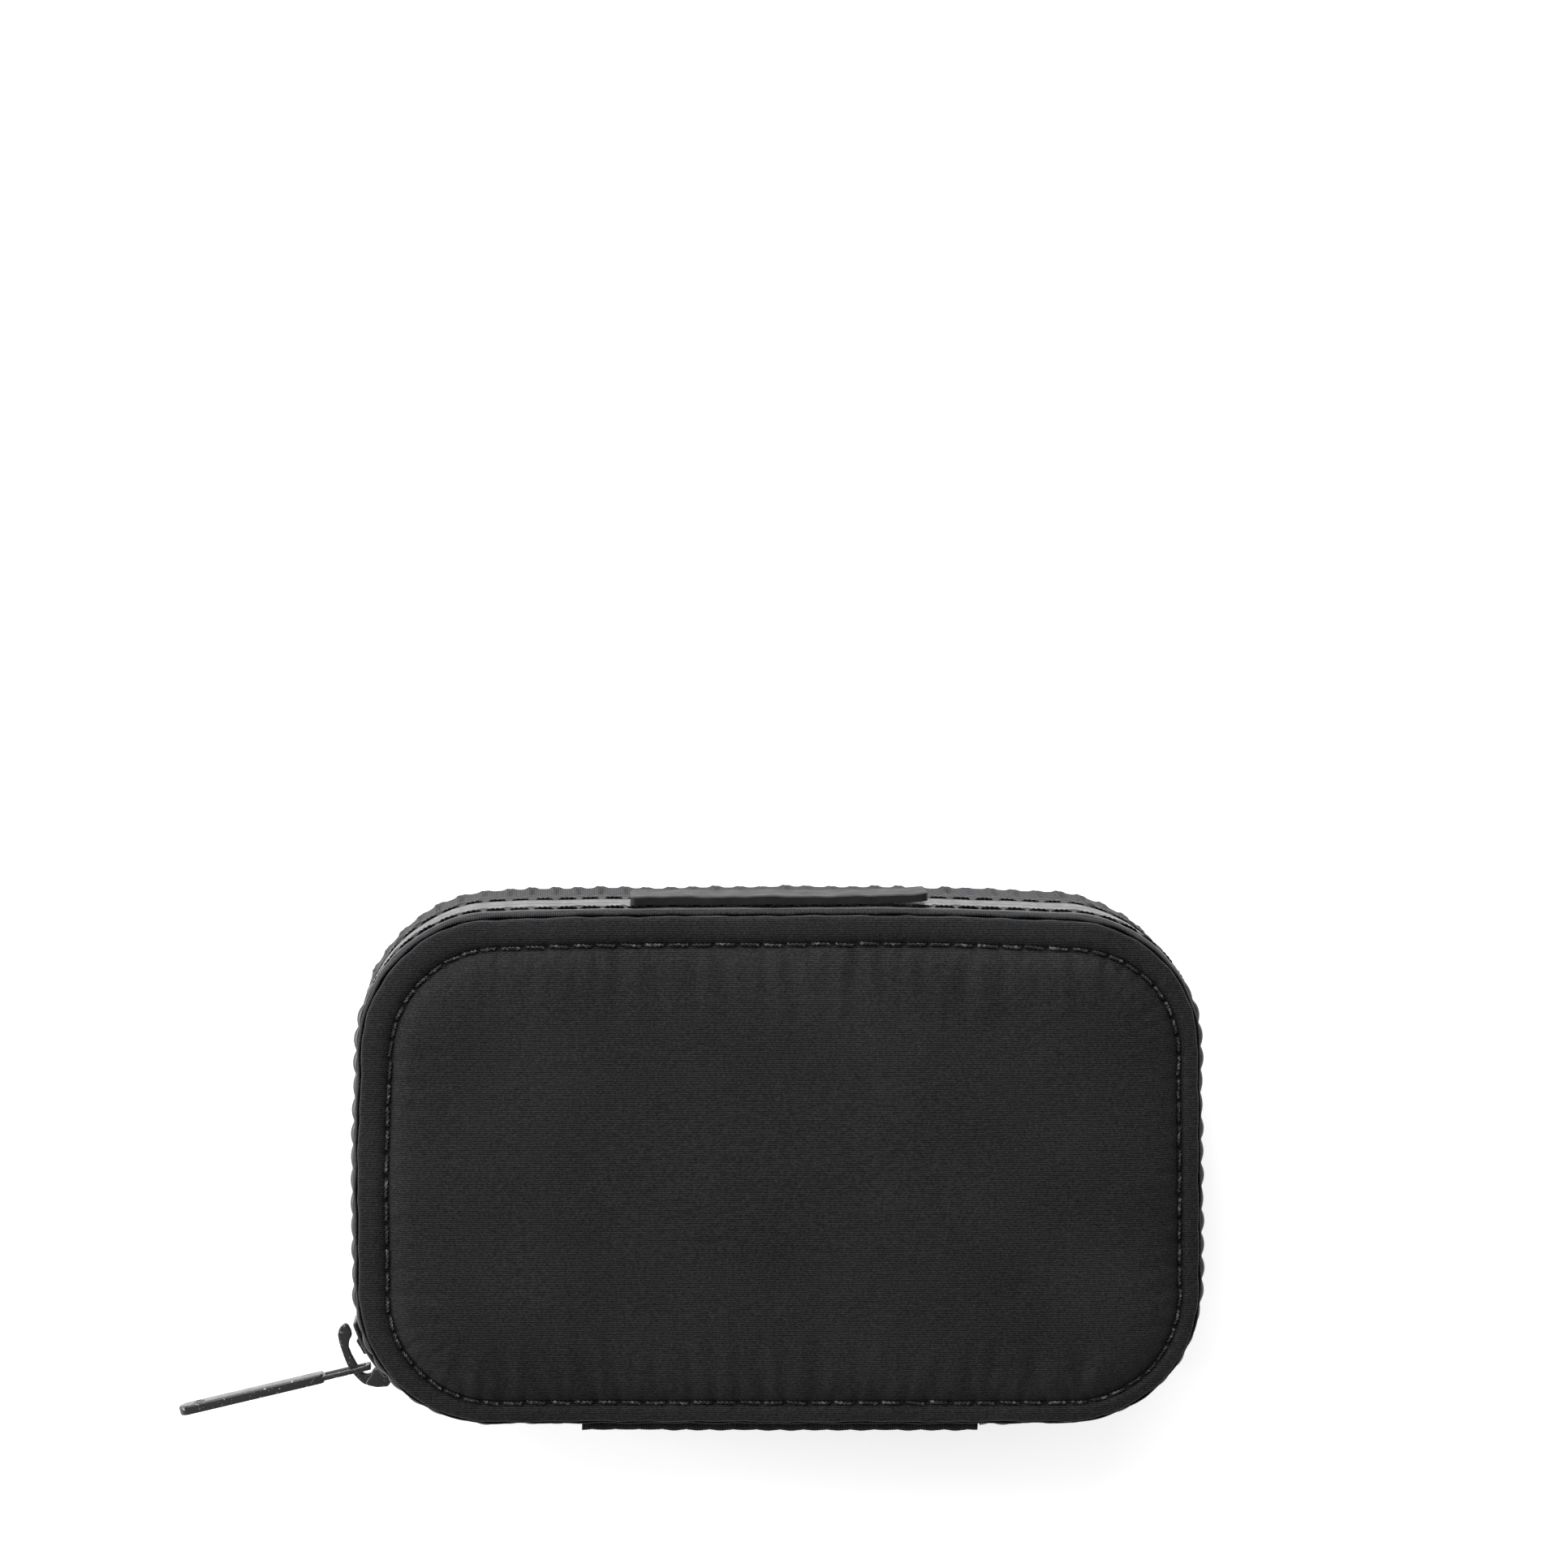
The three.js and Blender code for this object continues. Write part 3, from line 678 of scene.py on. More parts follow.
def row_bulge(run, height, row, zip_side, amounts, seed):
    """How far a wall swells out beside a stitch row, between needle holes. The amounts are for the
    side towards the zip, and for the folded edge, on the opening side and elsewhere."""
    above = (height - row) * zip_side
    towards_zip, edge_in_front, edge_elsewhere = amounts
    at_edge = edge_elsewhere + (edge_in_front - edge_elsewhere) * on_front(run)
    fade = towards_zip * (np.exp(-(((above - 1.0) / 0.75) ** 2)) + 0.25 * np.exp(-((above / 0.5) ** 2)))
    fade = fade + at_edge * np.exp(-(((above + 0.9) / 0.7) ** 2))
    return swell(run) * per_stitch(run, 0.7, 1.2, seed) * fade


# The label's middle and half its length, and the stretch where the slider's post parts the tapes.
LABEL_RUN = 194.6
LABEL_HALF = 23.5
SLIDER_RUNS = (307.5, 329.5)


def tape_shell(name, lid):
    """Half of the zip tape. The lid's half is the base's half turned over in the zip's height. The
    lid's half lies flat under the label."""
    section = [[0.9, 17.5], [1.2, 17.6], [1.34, 18.1], [1.28, 18.7], [0.88, 19.1], [0.92, 19.4], [1.25, 20.0],
               [1.32, 22.0], [1.33, 24.5], [1.31, 26.38], [1.29, 26.49], [0.75, 26.49], [0.7, 26.38],
               [0.65, 24.5], [0.55, 22.0], [0.45, 19.0], [0.5, 17.8]]
    section = smoothed(section, 2, closed=True)
    row = FRONT_ROW if lid else BACK_ROW
    if lid:
        section[:, 1] = 2 * ZIP_HEIGHT - section[:, 1] + (FRONT_ROW - (2 * ZIP_HEIGHT - BACK_ROW))
        section[:, 1] = np.minimum(section[:, 1], 40)
    side = -1 if lid else 1

    def shape(run, reach, height):
        outer = np.clip((reach - 0.7) / 0.4, 0, 1)
        amounts = (0.46, -0.04, 0.45) if lid else (0.02, 0.50, 0.30)
        bulge = row_bulge(run, height, row, side, amounts, 11 + lid)
        if lid:
            bulge = bulge * (1 - 0.85 * np.clip(LABEL_HALF + 1.0 - np.abs(run - LABEL_RUN), 0, 1))
        slow = 0.04 * np.sin(run * 0.21 + 2) + 0.03 * np.sin(run * 0.57)
        parted = 0.46 * np.clip((run - SLIDER_RUNS[0]) / 2, 0, 1) * np.clip((SLIDER_RUNS[1] - run) / 2, 0, 1)
        at_slit = np.clip(1 - np.abs(height - ZIP_HEIGHT) / 2, 0, 1)
        return (bulge + slow) * (0.35 + 0.65 * outer), -side * parted * at_slit

    span = (HINGE_HALF + 0.3, PERIMETER - HINGE_HALF - 0.3)
    piece = loop_shell(name, section, TAPE, "lid" if lid else "base", 1100, span, shape)
    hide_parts("lid_tape" if lid else "base_tape")
    return piece


def lid_side():
    section = [[-0.4, 37.0], [0.25, 37.2], [0.44, 38.0], [0.56, 38.6], [0.72, 38.65], [0.95, 38.2],
               [1.08, 37.2], [1.12, 36.0], [1.0, 35.2], [0.7, 34.6], [0.2, 34.6], [0.1, 36.2], [-0.4, 36.6]]
    section = smoothed(section, 2, closed=True)

    def shape(run, reach, height):
        outer = np.clip((reach - 0.1) / 0.5, 0, 1)
        bulge = 0.05 * swell(run) * np.exp(-(((height - 35.5) / 1.5) ** 2))
        sway = 0.05 * np.sin(run * 0.9) + 0.04 * np.sin(run * 0.53 + 2)
        return bulge * outer + sway * (height > 36.5), 0.06 * np.sin(run * 0.9) * outer

    piece = loop_shell("lid_side", section, HINGE_CLOTH, "lid", 1040, None, shape)
    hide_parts("lid_gusset")
    return piece


def base_side():
    """The deep gusset. Every stitch of the back panel's seam draws a narrow crease up the wall and
    leaves a small lump at its foot."""
    section = [[0.5, 18.7], [0.95, 18.4], [1.12, 17.2], [1.25, 14], [1.35, 10], [1.45, 7], [1.45, 4.8],
               [1.0, 3.0], [0.3, 1.9], [-0.7, 1.5], [-1.2, 2.3], [0.3, 4.6], [0.5, 10], [0.3, 18.0]]
    section = smoothed(section, 2, closed=True)

    def shape(run, reach, height):
        outer = np.clip((reach - 0.5) / 0.5, 0, 1)
        phase = np.mod(run / PITCH, 1) - 0.5
        strength = per_stitch(run, 0.45, 1.3, 31)
        shift = per_stitch(run, -0.25, 0.25, 32)
        wave = phase * PITCH + shift
        lump = np.exp(-((np.abs(wave) / 0.95) ** 3)) * np.exp(-(((height - 5.4) / 2.4) ** 2))
        crease = np.exp(-(((wave - 0.55) / 0.25) ** 2)) - 1.1 * np.exp(-(((wave + 0.05) / 0.35) ** 2))
        fade_low = np.clip((height - 7) / 3, 0, 1)
        fade = np.clip((height - 3) / 3, 0, 1) * np.clip((18.6 - height) / 3.5, 0, 1)
        foot = -0.18 * np.exp(-((wave / 0.35) ** 2)) * np.exp(-(((height - 2.2) / 0.8) ** 2))
        slow = 0.07 * np.sin(run * 0.17) + 0.05 * np.sin(run * 0.43 + height * 0.2)
        out = 0.30 * lump * strength + (0.08 + 0.22 * fade_low) * crease * strength * fade + foot + slow
        return out * outer, np.zeros_like(reach)

    piece = loop_shell("base_side", section, GUSSET_CLOTH, "base", 2080, None, shape)
    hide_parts("base_gusset")
    return piece


def hinge_cloth():
    """One strip of ribbed cloth over the fold, sewn to both gussets along its edges."""
    low, high = 17.3, 35.7
    heights = np.linspace(low, high, 61)
    from_middle = [0, 4.5, 7.0, 7.6, 8.1, 8.7, 9.2]
    reach_there = [3.3, 3.1, 2.75, 2.4, 2.65, 2.4, 1.6]
    bulge = np.interp(np.abs(heights - ZIP_HEIGHT), from_middle, reach_there)
    outer = np.stack([bulge, heights], 1)
    inner = np.stack([bulge - 0.7, heights], 1)[::-1]
    section = np.vstack([outer, inner])

    def shape(run, reach, height):
        rows = row_bulge(run, height, BACK_ROW, 1, (0.3, 0.15, 0.15), 41)
        rows = rows + row_bulge(run, height, FRONT_ROW, -1, (0.34, 0.17, 0.17), 42)
        edge = 0.16 * np.cos(2 * math.pi * run / PITCH)
        away = np.abs(height - ZIP_HEIGHT) / 9.2
        sag = 0.06 * np.sin(run * 0.5) + 0.05 * np.sin(run * 1.1 + 1)
        return rows + sag * (1 - away), edge * np.sign(height - ZIP_HEIGHT) * away ** 6

    piece = loop_shell("hinge_cloth", section, HINGE_CLOTH, None, 420, (-HINGE_HALF, HINGE_HALF), shape)
    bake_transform(piece)
    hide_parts("hinge_strip_base", "hinge_strip_lid")
    return piece


# ---------------------------------------------------------------- stitches

def twisted_stitches(name, body, lay, begin, end, seed, thick=0.17, share=0.86, lift=0.14, flat=8,
                     material=None):
    """Lock stitches of two-ply thread. `lay` gives points and lifts for an array of runs."""
    random = np.random.default_rng(seed)
    count = int(round((end - begin) / PITCH))
    pitch = (end - begin) / count
    steps, sides, plies = 15, 6, 2
    t = np.linspace(0, 1, steps)
    start = begin + (np.arange(count) + (1 - share) / 2) * pitch
    run = start[:, None] + t * pitch * share + random.normal(0, 0.03, (count, 1))
    points, up = lay(run.ravel())
    points = points.reshape(count, steps, 3)
    up = up.reshape(count, steps, 3)
    ahead = np.gradient(points, axis=1)
    ahead /= np.linalg.norm(ahead, axis=2, keepdims=True)
    aside = np.cross(ahead, up)
    bow = lift - (lift + 0.45) * np.abs(2 * t - 1) ** flat
    lean = random.normal(0.08, 0.05, (count, 1)) * (2 * t - 1) + random.normal(0, 0.04, (count, 1))
    centre = points + up * bow[None, :, None] + aside * lean[..., None]
    turn = 2 * math.pi * 2.3 * t[None, :] + random.uniform(0, 6.28, (count, 1))
    around = np.arange(sides) * 2 * math.pi / sides
    vertices, faces = [], []
    for ply in range(plies):
        angle = turn + ply * math.pi
        core = centre + thick * 0.78 * (np.cos(angle)[..., None] * up + np.sin(angle)[..., None] * aside)
        ring = np.cos(around)[:, None, None, None] * up + np.sin(around)[:, None, None, None] * aside
        tube = (core[None] + thick * ring).transpose(1, 2, 0, 3)
        for k in range(count):
            first = len(vertices) * steps * sides
            vertices.append(tube[k].reshape(-1, 3))
            faces += grid_faces(steps, sides, False, True, first)
            faces.append([first + i for i in range(sides)])
            last = first + (steps - 1) * sides
            faces.append([last + i for i in reversed(range(sides))])
    piece = mesh_piece(name, np.vstack(vertices), faces, material or THREAD, body)
    turn_outwards(piece)
    return piece


def lay_on_face(inset, height, facing, shift=(0, 0)):
    def lay(run):
        edge, out = edge_at(run)
        points = np.column_stack([edge - inset * out + shift, np.full(len(run), height)])
        return points, np.tile([0, 0, facing], (len(run), 1)).astype(float)
    return lay


def lay_on_wall(reach, height, further_in_front=0.0):
    def lay(run):
        edge, out = edge_at(run)
        reaches = reach + further_in_front * on_front(run)[:, None]
        points = np.column_stack([edge + reaches * out, np.full(len(run), height)])
        return points, np.column_stack([out, np.zeros(len(run))])
    return lay


def all_stitches():
    whole = (0.0, PERIMETER)
    on_lid = lay_on_face(TOP_STITCH_INSET, 39.58, 1, FIELD_SHIFT)
    on_back = lay_on_face(TOP_STITCH_INSET, 0.62, -1)
    twisted_stitches("lid_top_stitch", "lid", on_lid, *whole, 51)
    twisted_stitches("base_panel_stitch", "base", on_back, *whole, 52, lift=0.02)
    begin, end = HINGE_HALF + 0.8, PERIMETER - HINGE_HALF - 0.8
    lid_row = (begin, end, 53, 0.17, 0.98, 0.16, 5)
    base_row = (begin, end, 54, 0.13, 0.9, 0.14, 5)
    twisted_stitches("lid_row_stitch", "lid", lay_on_wall(1.0, FRONT_ROW, 0.25), *lid_row, ROW_THREAD)
    twisted_stitches("base_row_stitch", "base", lay_on_wall(1.0, BACK_ROW, 0.18), *base_row, ROW_THREAD)
    strip = (-HINGE_HALF + 0.8, HINGE_HALF - 0.8)
    twisted_stitches("hinge_lid_stitch", "lid", lay_on_wall(2.2, FRONT_ROW + 0.1), *strip, 55, 0.15, 0.74)
    twisted_stitches("hinge_base_stitch", "base", lay_on_wall(2.2, BACK_ROW - 0.3), *strip, 56, 0.15, 0.74)


# ---------------------------------------------------------------- small pieces

def rounded_block(name, low, high, radius, material, body, dense=1.0, shape=None):
    """A box with round edges. `shape` may move its points, given in millimetres."""
    low, high = np.asarray(low, float), np.asarray(high, float)
    half = (high - low) / 2
    cells = np.clip((2 * half / dense).astype(int), 4, 160)
    points, faces = [], []
    for axis in range(3):
        u, v = (axis + 1) % 3, (axis + 2) % 3
        for side in (-1, 1):
            a = np.sin(np.linspace(-1, 1, cells[u] + 1) * math.pi / 2) * half[u]
            b = np.sin(np.linspace(-1, 1, cells[v] + 1) * math.pi / 2) * half[v]
            if cells[u] > 24:
                a = np.linspace(-half[u], half[u], cells[u] + 1)
            if cells[v] > 24:
                b = np.linspace(-half[v], half[v], cells[v] + 1)
            grid = np.zeros((len(a), len(b), 3))
            grid[..., u], grid[..., v] = np.meshgrid(a, b, indexing="ij")
            grid[..., axis] = side * half[axis]
            start = sum(len(p) for p in points)
            points.append(grid.reshape(-1, 3))
            faces += grid_faces(len(a), len(b), start=start)
    points = np.vstack(points)
    core = np.clip(points, -(half - radius), half - radius)
    away = points - core
    length = np.linalg.norm(away, axis=1, keepdims=True)
    points = core + radius * away / np.maximum(length, 1e-9)
    points += (low + high) / 2
    if shape is not None:
        points = shape(points)
    piece = mesh_piece(name, points, faces, material, body)
    turn_outwards(piece, WELD)
    return piece


def turned(name, profile, centre, material, body, steps=48):
    """A lathe piece about a vertical axis. The profile is [radius, height], from axis to axis."""
    profile = smoothed(profile, 2)
    profile[0, 0] = profile[-1, 0] = 0.001
    angle = np.arange(steps) * 2 * math.pi / steps
    points = np.zeros((steps, len(profile), 3))
    points[..., 0] = centre[0] + np.cos(angle)[:, None] * profile[:, 0]
    points[..., 1] = centre[1] + np.sin(angle)[:, None] * profile[:, 0]
    points[..., 2] = profile[:, 1]
    piece = mesh_piece(name, points.reshape(-1, 3), grid_faces(steps, len(profile), True), material, body)
    turn_outwards(piece, WELD)
    return piece


def bevelled(shapes, bevel, segments=3):
    """Prisms as one mesh in millimetres with their sharp edges rounded. Each shape is
    (outline, hole or None, low, high), with as many points in the hole as in the outline."""
    work = bmesh.new()
    for outline, hole, low, high in shapes:
        rings = [[work.verts.new((x, y, z)) for x, y in outline] for z in (low, high)]
        count = len(outline)
        for i in range(count):
            j = (i + 1) % count
            work.faces.new([rings[0][i], rings[0][j], rings[1][j], rings[1][i]])
        if hole is None:
            work.faces.new(rings[0])
            work.faces.new(rings[1])
            continue
        inner = [[work.verts.new((x, y, z)) for x, y in hole] for z in (low, high)]
        for i in range(count):
            j = (i + 1) % count
            work.faces.new([inner[0][i], inner[0][j], inner[1][j], inner[1][i]])
            work.faces.new([rings[0][i], rings[0][j], inner[0][j], inner[0][i]])
            work.faces.new([rings[1][i], rings[1][j], inner[1][j], inner[1][i]])
    bmesh.ops.recalc_face_normals(work, faces=work.faces)
    sharp = [e for e in work.edges if e.is_manifold and e.calc_face_angle(0) > math.radians(28)]
    bmesh.ops.bevel(work, geom=sharp, offset=bevel, offset_type="OFFSET", segments=segments, profile=0.5,
                    affect="EDGES", clamp_overlap=True)
    bmesh.ops.triangulate(work, faces=[f for f in work.faces if len(f.verts) > 8])
    work.verts.index_update()
    points = np.array([v.co[:] for v in work.verts])
    faces = [[v.index for v in f.verts] for f in work.faces]
    work.free()
    return points, faces


def arc(radius, start, end, steps, centre=(0, 0)):
    angle = np.radians(np.linspace(start, end, steps))
    return [(centre[0] + radius * math.cos(a), centre[1] + radius * math.sin(a)) for a in angle]


def turn_about_z(points, degrees):
    c, s = math.cos(math.radians(degrees)), math.sin(math.radians(degrees))
    x, y = points[:, 0].copy(), points[:, 1].copy()
    points = points.copy()
    points[:, 0], points[:, 1] = c * x - s * y, s * x + c * y
    return points


# The slider is drawn at the corner's centre and turned to its place on the arc.
SLIDER_ANGLE = 30.0
SLIDER_CENTRE = np.array([STRAIGHT[0], STRAIGHT[1], ZIP_HEIGHT])
PULL_ROOT = np.array([24.75, 2.6, 0.0])
PULL_TURN = 13.0


def metal_piece(name, meshes, body, place, node):
    points, faces = [], []
    for part_points, part_faces in meshes:
        start = sum(len(p) for p in points)
        points.append(part_points)
        faces += [[start + i for i in face] for face in part_faces]
    points = place(np.vstack(points))
    piece = mesh_piece(name, points, faces, ENAMEL, body)
    turn_outwards(piece)
    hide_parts(node)
    return piece


def on_slider(points):
    return turn_about_z(points, SLIDER_ANGLE) + SLIDER_CENTRE


def slider():
    """Two wings on either side of the tapes, the post between them, the arch, its foot and a leaf."""
    half_angle, half_height = 12.5, 3.6

    def wing(inner, outer):
        wide = arc(outer, -half_angle, half_angle, 13)
        back = arc(inner, half_angle, -half_angle, 13)
        return wide + back

    outer = bevelled([(wing(22.9, 23.6), None, -half_height, half_height)], 0.3)
    inner = bevelled([(wing(18.3, 19.4), None, -half_height, half_height)], 0.35)
    post = bevelled([([(19.1, -1.5), (23.4, -1.5), (23.4, 1.5), (19.1, 1.5)], None, -0.4, 0.4)], 0.12)
    metal_piece("slider_casting", [outer, inner, post], "slider", on_slider, "slider_body")
    top = 27.5
    arch = [[-3.6, 5.9], [-1.4, 5.3], [-0.55, 4.5], [0, 2.1], [0, 0.1], [-0.9, -4.1], [-1.9, -5.2],
            [-3.4, -5.4], [-3.3, -3.2], [-2.2, -2.6], [-1.45, -1.4], [-1.35, 2.4], [-1.6, 3.5], [-3.6, 3.9]]
    arch = smoothed(arch, 1, closed=True)
    arch[:, 0] += top
    bridge = bevelled([([tuple(p) for p in arch], None, -0.72, 0.72)], 0.22)
    lug = [(22.7, 3.4), (24.1, 3.3), (25.2, 3.9), (26.3, 4.4), (26.4, 5.0), (25.2, 6.1),
           (23.6, 6.9), (22.6, 6.4)]
    foot = bevelled([(lug, None, -1.3, 1.3)], 0.3)
    metal_piece("slider_arch", [bridge, foot], "slider", on_slider, "slider_bridge")
    leaf = bevelled([([(23.9, -2.2), (24.3, -2.0), (24.3, 0.5), (23.9, 0.6)], None, -0.8, 0.8)], 0.1)
    metal_piece("slider_leaf", [leaf], "slider", on_slider, "slider_pawl")


def pull():
    """Slim pull that stands on edge: an open neck round the arch, then a thicker blade with a small
    raised ring near its tip."""
    corners = [(-0.4, -1.6), (8.6, -1.6), (8.6, 1.6), (-0.4, 1.6)]
    eye = [(0.4, -0.95), (7.0, -0.95), (7.0, 0.95), (0.4, 0.95)]
    neck = bevelled([(corners, eye, -0.42, 0.42)], 0.2)
    shoulders = [(7.3, -1.45), (7.9, -1.75)]
    tip = arc(1.75, -85, 85, 13, (29.25, 0))
    blade = [*shoulders, *tip, (7.9, 1.75), (7.3, 1.45)]
    plate = bevelled([(blade, None, -0.76, 0.76)], 0.3, 4)
    ring_at = (27.6, 0)
    ring_edge = arc(0.95, 0, 345, 24, ring_at)
    ring_hole = arc(0.45, 0, 345, 24, ring_at)
    ring = bevelled([(ring_edge, ring_hole, -0.86, 0.86)], 0.12)

    def place(points):
        stood = np.column_stack([points[:, 0], -points[:, 2], points[:, 1]])
        root = on_slider(PULL_ROOT[None])[0]
        return turn_about_z(stood, PULL_TURN) + root

    metal_piece("pull_cast", [neck, plate, ring], "pull", place, "pull_tab")


def zip_stops():
    for half in ("base", "lid"):
        for side in ("left", "right"):
            node = f"zip_stop_{half}_{side}"
            low, high = node_box(node)
            piece = rounded_block(f"{node}_crimp", low, high, 0.35, ENAMEL, half, 0.25)
            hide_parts(node)


# How far each coil's near and far side stand from the zip's middle.
COIL_NEAR, COIL_FAR = 0.85, 2.6


def coil(name, body, low, high, node):
    """Nylon coil: one thread wound along the tape's inner face."""
    pitch, wire, steps, sides = 1.45, 0.3, 14, 6
    begin, end = HINGE_HALF + 1.5, PERIMETER - HINGE_HALF - 1.5
    turns = int((end - begin) / pitch)
    t = np.linspace(0, 1, turns * steps + 1)
    run = begin + (end - begin) * t
    angle = 2 * math.pi * turns * t
    edge, out = edge_at(run)
    middle = (low + high) / 2
    reach = -0.22 + 0.5 * np.sign(np.cos(angle)) * np.abs(np.cos(angle)) ** 0.7
    height = middle + ((high - low) / 2 - wire) * np.sin(angle)
    points = np.column_stack([edge + reach[:, None] * out, height])
    ahead = np.gradient(points, axis=0)
    ahead /= np.linalg.norm(ahead, axis=1, keepdims=True)
    first = np.cross(ahead, [0, 0, 1.0])
    first /= np.linalg.norm(first, axis=1, keepdims=True)
    second = np.cross(ahead, first)
    around = np.arange(sides) * 2 * math.pi / sides
    ring = np.cos(around)[None, :, None] * first[:, None] + np.sin(around)[None, :, None] * second[:, None]
    tube = points[:, None] + wire * ring
    faces = grid_faces(len(points), sides, False, True)
    faces.append(list(range(sides)))
    faces.append([(len(points) - 1) * sides + i for i in reversed(range(sides))])
    piece = mesh_piece(name, tube.reshape(-1, 3), faces, COIL, body)
    turn_outwards(piece)
    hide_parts(node)


def label():
    """Soft rubber patch sewn to the tape: its plain face is a little wavy and one end has lifted."""
    half, foot, top = LABEL_HALF, 22.5, 33.5
    columns, rows = 190, 34
    s = np.linspace(-1, 1, columns)
    t = np.linspace(0, 1, rows)
    s, t = np.meshgrid(s, t, indexing="ij")
    round_off = 0.8
    x = s * half
    z = foot + (top - foot) * t
    near_end = np.clip((np.abs(x) - (half - round_off)) / round_off, 0, 1)
    shrink = round_off * (1 - np.sqrt(np.clip(1 - near_end ** 2, 0, 1)))
    z = foot + shrink + (z - foot) * (top - foot - 2 * shrink) / (top - foot)
    lift = 0.5 * np.clip((-x - 12) / 11.5, 0, 1) ** 2
    wave = 0.06 * np.sin(x * 0.42 + 0.8) + 0.04 * np.sin(x * 0.95) + 0.02 * np.sin(x * 1.9 + z * 0.2)
    back = 1.55 + lift + 0.5 * wave * t
    inset = np.minimum(np.minimum(half - np.abs(x), z - foot), top - z)
    border = np.exp(-(((inset - 0.75) / 0.35) ** 2))
    edge_round = 0.14 * np.exp(-inset / 0.12)
    front = back + 1.32 - edge_round + 0.06 * border + 0.6 * wave
    y = -(PANEL_HALF[1] + np.stack([front, back]))
    points = np.stack([np.stack([x, x]), y, np.stack([z, z])], -1)
    count = columns * rows
    faces = grid_faces(columns, rows) + grid_faces(columns, rows, start=count)
    rim = [i * rows for i in range(columns)]
    rim += [(columns - 1) * rows + j for j in range(1, rows)]
    rim += [i * rows + rows - 1 for i in reversed(range(columns - 1))]
    rim += [j for j in reversed(range(1, rows - 1))]
    for a, b in zip(rim, rim[1:] + rim[:1]):
        faces.append([a, b, b + count, a + count])
    piece = mesh_piece("label", points.reshape(-1, 3), faces, LABEL, "base")
    turn_outwards(piece)
    piece.data.set_sharp_from_angle(angle=math.radians(50))
    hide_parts("label_patch")


# ---------------------------------------------------------------- inside

def lining(name, body, node, flip):
    """Velvet over the board tray, rolled over the wall's top and turned under its outer edge."""
    section = [[-3.3, 5.9], [-3.2, 6.4], [-3.2, 20.6], [-3.25, 21.6], [-2.7, 22.3], [-1.6, 22.45],
               [-0.75, 22.1], [-0.55, 21.4], [-0.8, 20.6], [-1.3, 20.4], [-2.3, 20.2], [-2.4, 5.6],
               [-2.6, 5.1]]
    section = smoothed(section, 2)
    middle = [[-3.3, 5.9, share] for share in (0, 0.25, 0.5, 0.75, 0.94)]
    under = [[-2.6, 5.1, share] for share in (0.9, 0.6, 0.3, 0)]
    profile = np.array([*middle, *[[out, height, 1] for out, height in section], *under])
    if flip:
        profile[:, 1] = flip(profile[:, 1])

    def shape(run, reach, share, points, out):
        moved = np.zeros_like(points)
        roll = (share == 1) * np.exp(-(((reach + 1.7) / 1.4) ** 2))
        moved[..., 2] = roll * 0.06 * np.sin(run * 0.8) * (1 if not flip else -1)
        return moved

    piece = loop_disc(name, profile, VELVET, body, 520, shape)
    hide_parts(node)


def lid_flip(height):
    """Heights of the lid's shallow tray from those of the base's deep one."""
    wall = np.clip((height - 6.4) / (20.2 - 6.4), 0, 1)
    shallow = np.where(height < 6.4, height - 5.1, 1.3 + wall * 1.5 + np.clip(height - 20.2, 0, 3))
    return 35.4 - shallow * np.where(height > 20.2, 0.92, 1.0)


def velvet_block(node, radius, body, dense):
    """A CAD block under velvet, with round edges."""
    low, high = node_box(node)
    piece = rounded_block(f"{node}_velvet", low, high, radius, VELVET, body, dense)
    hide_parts(node)


def inside():
    lining("base_velvet", "base", "base_lining", None)
    lining("lid_velvet", "lid", "lid_lining", lid_flip)
    for node in ("divider_ring", "divider_long", "divider_short"):
        velvet_block(node, 0.65, "base", 0.5)
    for i in range(1, 5):
        low, high = node_box(f"ring_roll_{i}")
        middle = (low + high) / 2

        def sag(points, i=i, middle=middle):
            along = points[:, 1] / 33.5
            dip = 0.22 * np.sin(points[:, 1] * 0.33 + i) * (1 - along ** 2)
            points[:, 2] += dip * (points[:, 2] > middle[2]) * 0.6 - 0.15
            tuck = np.exp(-(((np.abs(points[:, 1]) - 30.5) / 0.9) ** 2))
            points[:, 0] = middle[0] + (points[:, 0] - middle[0]) * (1 - 0.06 * tuck)
            return points

        piece = rounded_block(f"ring_roll_{i}_velvet", low, high, 4.2, ROLL_VELVET, "base", 0.7, sag)
        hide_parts(f"ring_roll_{i}")
    for i in range(1, 4):
        velvet_block(f"tab_strap_{i}", 0.55, f"tab_{i}", 0.4)
        for part, body in (("cap", f"tab_{i}"), ("stud", "lid")):
            low, high = node_box(f"tab_{part}_{i}")
            r = (high - low)[0] / 2
            centre = (low + high) / 2
            h0, h1 = low[2], high[2]
            lip = 0.18 * r
            profile = [[0, h1], [r - lip, h1], [r, h1 - 0.1], [r, h0 + 0.4], [r - lip, h0],
                       [r - 2 * lip, h0 + 0.12], [r * 0.5, h0 + 0.2], [0, h0 + 0.05]]
            piece = turned(f"tab_{part}_{i}_snap", profile, centre, SNAP, body)
            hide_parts(f"tab_{part}_{i}")
    velvet_block("necklace_bar", 0.6, "lid", 0.5)
    pocket()


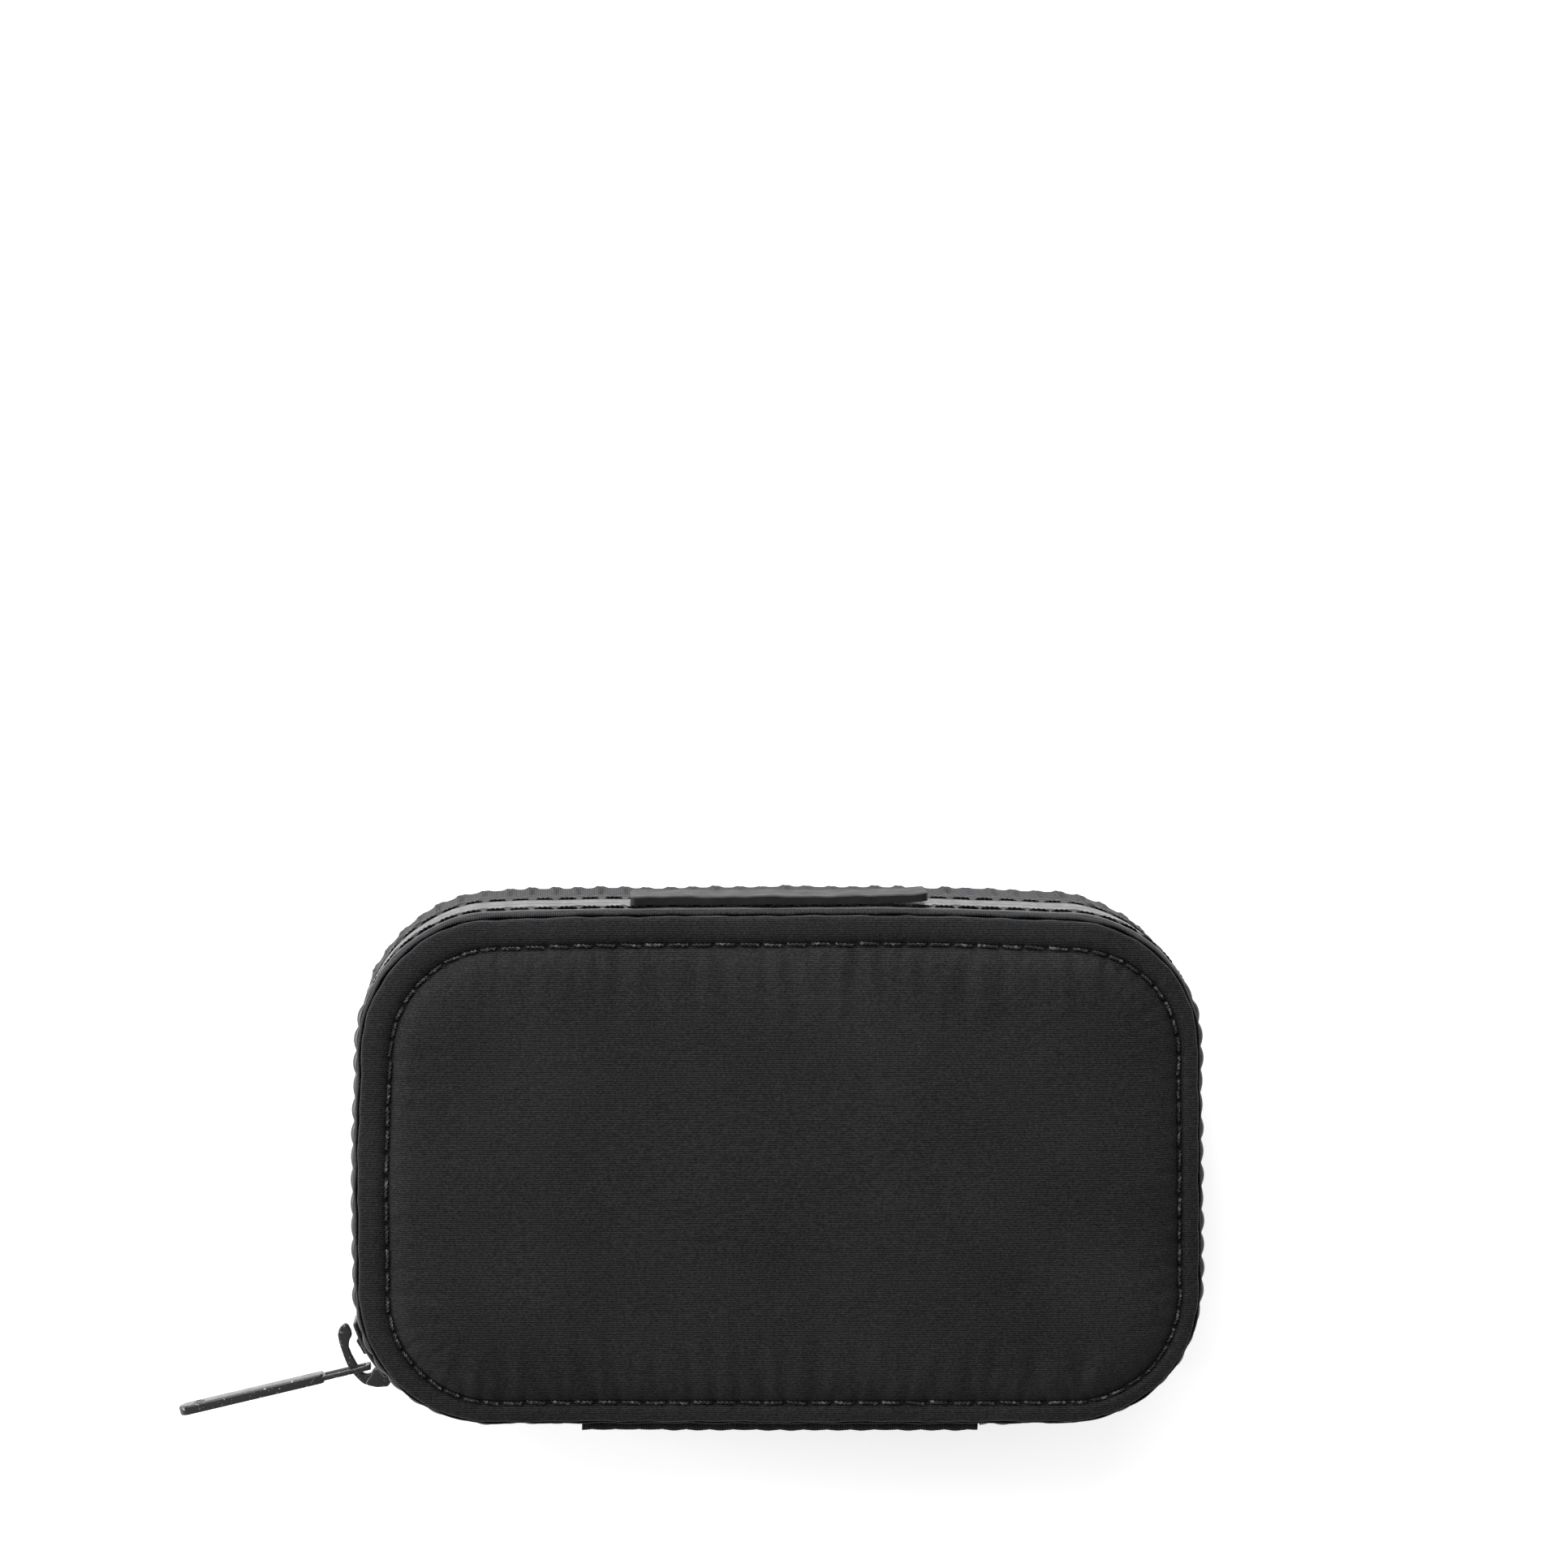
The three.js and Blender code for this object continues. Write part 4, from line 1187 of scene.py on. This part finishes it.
def pocket():
    low, high = node_box("pocket_elastic")

    def shirred(points):
        points[:, 2] += 0.16 * np.sin(points[:, 0] * 3.1 + 0.6 * np.sin(points[:, 0] * 0.5))
        points[:, 2] = np.clip(points[:, 2], low[2] - 0.1, high[2] + 0.1)
        return points

    piece = rounded_block("pocket_elastic_band", low, high, 0.6, VELVET, "lid", 0.35, shirred)
    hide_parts("pocket_elastic")
    low, high = node_box("lid_pocket")
    columns, rows = 420, 90
    x, y = np.meshgrid(np.linspace(low[0], high[0], columns), np.linspace(low[1] - 0.4, high[1], rows),
                       indexing="ij")
    gather = np.exp(-(y - low[1]) / 9)
    folds = 0.33 * np.sin(x * 2.0 + 0.7 * np.sin(x * 0.37)) + 0.16 * np.sin(x * 0.83 + y * 0.05)
    sides = np.clip((high[0] - np.abs(x)) / 3, 0, 1) * np.clip((high[1] - y) / 3, 0, 1)
    z = high[2] - 0.15 - 0.55 * sides + folds * gather * (0.3 + 0.7 * sides)
    points = np.stack([x, y, z], -1)
    piece = mesh_piece("pocket_cloth", points.reshape(-1, 3), grid_faces(columns, rows), VELVET, "lid")
    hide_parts("lid_pocket")


def dress(node, material):
    mesh = bpy.data.objects[node].data
    mesh.materials.clear()
    mesh.materials.append(material)


# ---------------------------------------------------------------- building

lid_panel()
base_panel()
lid_side()
base_side()
tape_shell("lid_zip_tape", True)
tape_shell("base_zip_tape", False)
hinge_cloth()
all_stitches()
label()
slider()
pull()
zip_stops()
coil("lid_coil_wire", "lid", ZIP_HEIGHT + COIL_NEAR, ZIP_HEIGHT + COIL_FAR, "lid_coil")
coil("base_coil_wire", "base", ZIP_HEIGHT - COIL_FAR, ZIP_HEIGHT - COIL_NEAR, "base_coil")
inside()
for cad in ("base_foam", "lid_foam"):
    dress(cad, FOAM)
for cad in ("base_board", "lid_board", "base_wall_board", "lid_wall_board"):
    dress(cad, BOARD)


# ---------------------------------------------------------------- floor, light and camera

def studio():
    wide, below = 3000, -0.05
    corners = [(-wide, -wide, below), (wide, -wide, below), (wide, wide, below), (-wide, wide, below)]
    floor = mesh_piece("studio_floor", corners, [[0, 1, 2, 3]], None, smooth=False)
    graph = Graph("white_sweep", Roughness=0.9, Emission_Color=(1, 1, 1, 1), Emission_Strength=0.45)
    cloud = graph.noise(graph.place(), 3.0)
    floor.data.materials.clear()
    white = graph.blend(cloud, (0.90, 0.90, 0.90), (0.92, 0.92, 0.92))
    floor.data.materials.append(graph.finish(Base_Color=white))
    world = bpy.data.worlds.new("studio_world")
    world.use_nodes = True
    world.node_tree.nodes["Background"].inputs["Color"].default_value = (1, 1, 1, 1)
    world.node_tree.nodes["Background"].inputs["Strength"].default_value = 0.55
    bpy.context.scene.world = world
    for name, place, size, power in (
        ("key_softbox", (0.45, -0.85, 0.9), 0.9, 14.0),
        ("front_softbox", (-0.1, -1.3, 0.30), 0.9, 14.0),
        ("side_softbox", (1.2, -0.1, 0.28), 0.6, 14.0),
    ):
        light = bpy.data.lights.new(name, "AREA")
        light.size = size
        light.energy = power
        lamp = bpy.data.objects.new(name, light)
        bpy.context.scene.collection.objects.link(lamp)
        lamp.location = place
        lamp.rotation_euler = (Vector((0, 0, 0.03)) - Vector(place)).to_track_quat("-Z", "Y").to_euler()


def camera():
    data = bpy.data.cameras.new("photo_camera")
    data.sensor_width = 36.0
    data.lens = 115.53
    data.clip_start = 0.05
    eye = bpy.data.objects.new("photo_camera", data)
    bpy.context.scene.collection.objects.link(eye)
    right = Vector((-0.99918, 0, 0.040475))
    up = Vector((-0.003318, -0.996634, -0.081914))
    back = right.cross(up)
    eye.matrix_world = Matrix((
        (right[0], up[0], back[0], 0.03134),
        (right[1], up[1], back[1], -0.12558),
        (right[2], up[2], back[2], 0.82422),
        (0, 0, 0, 1),
    ))
    bpy.context.scene.camera = eye


studio()
camera()
bpy.context.scene.view_settings.view_transform = "Standard"
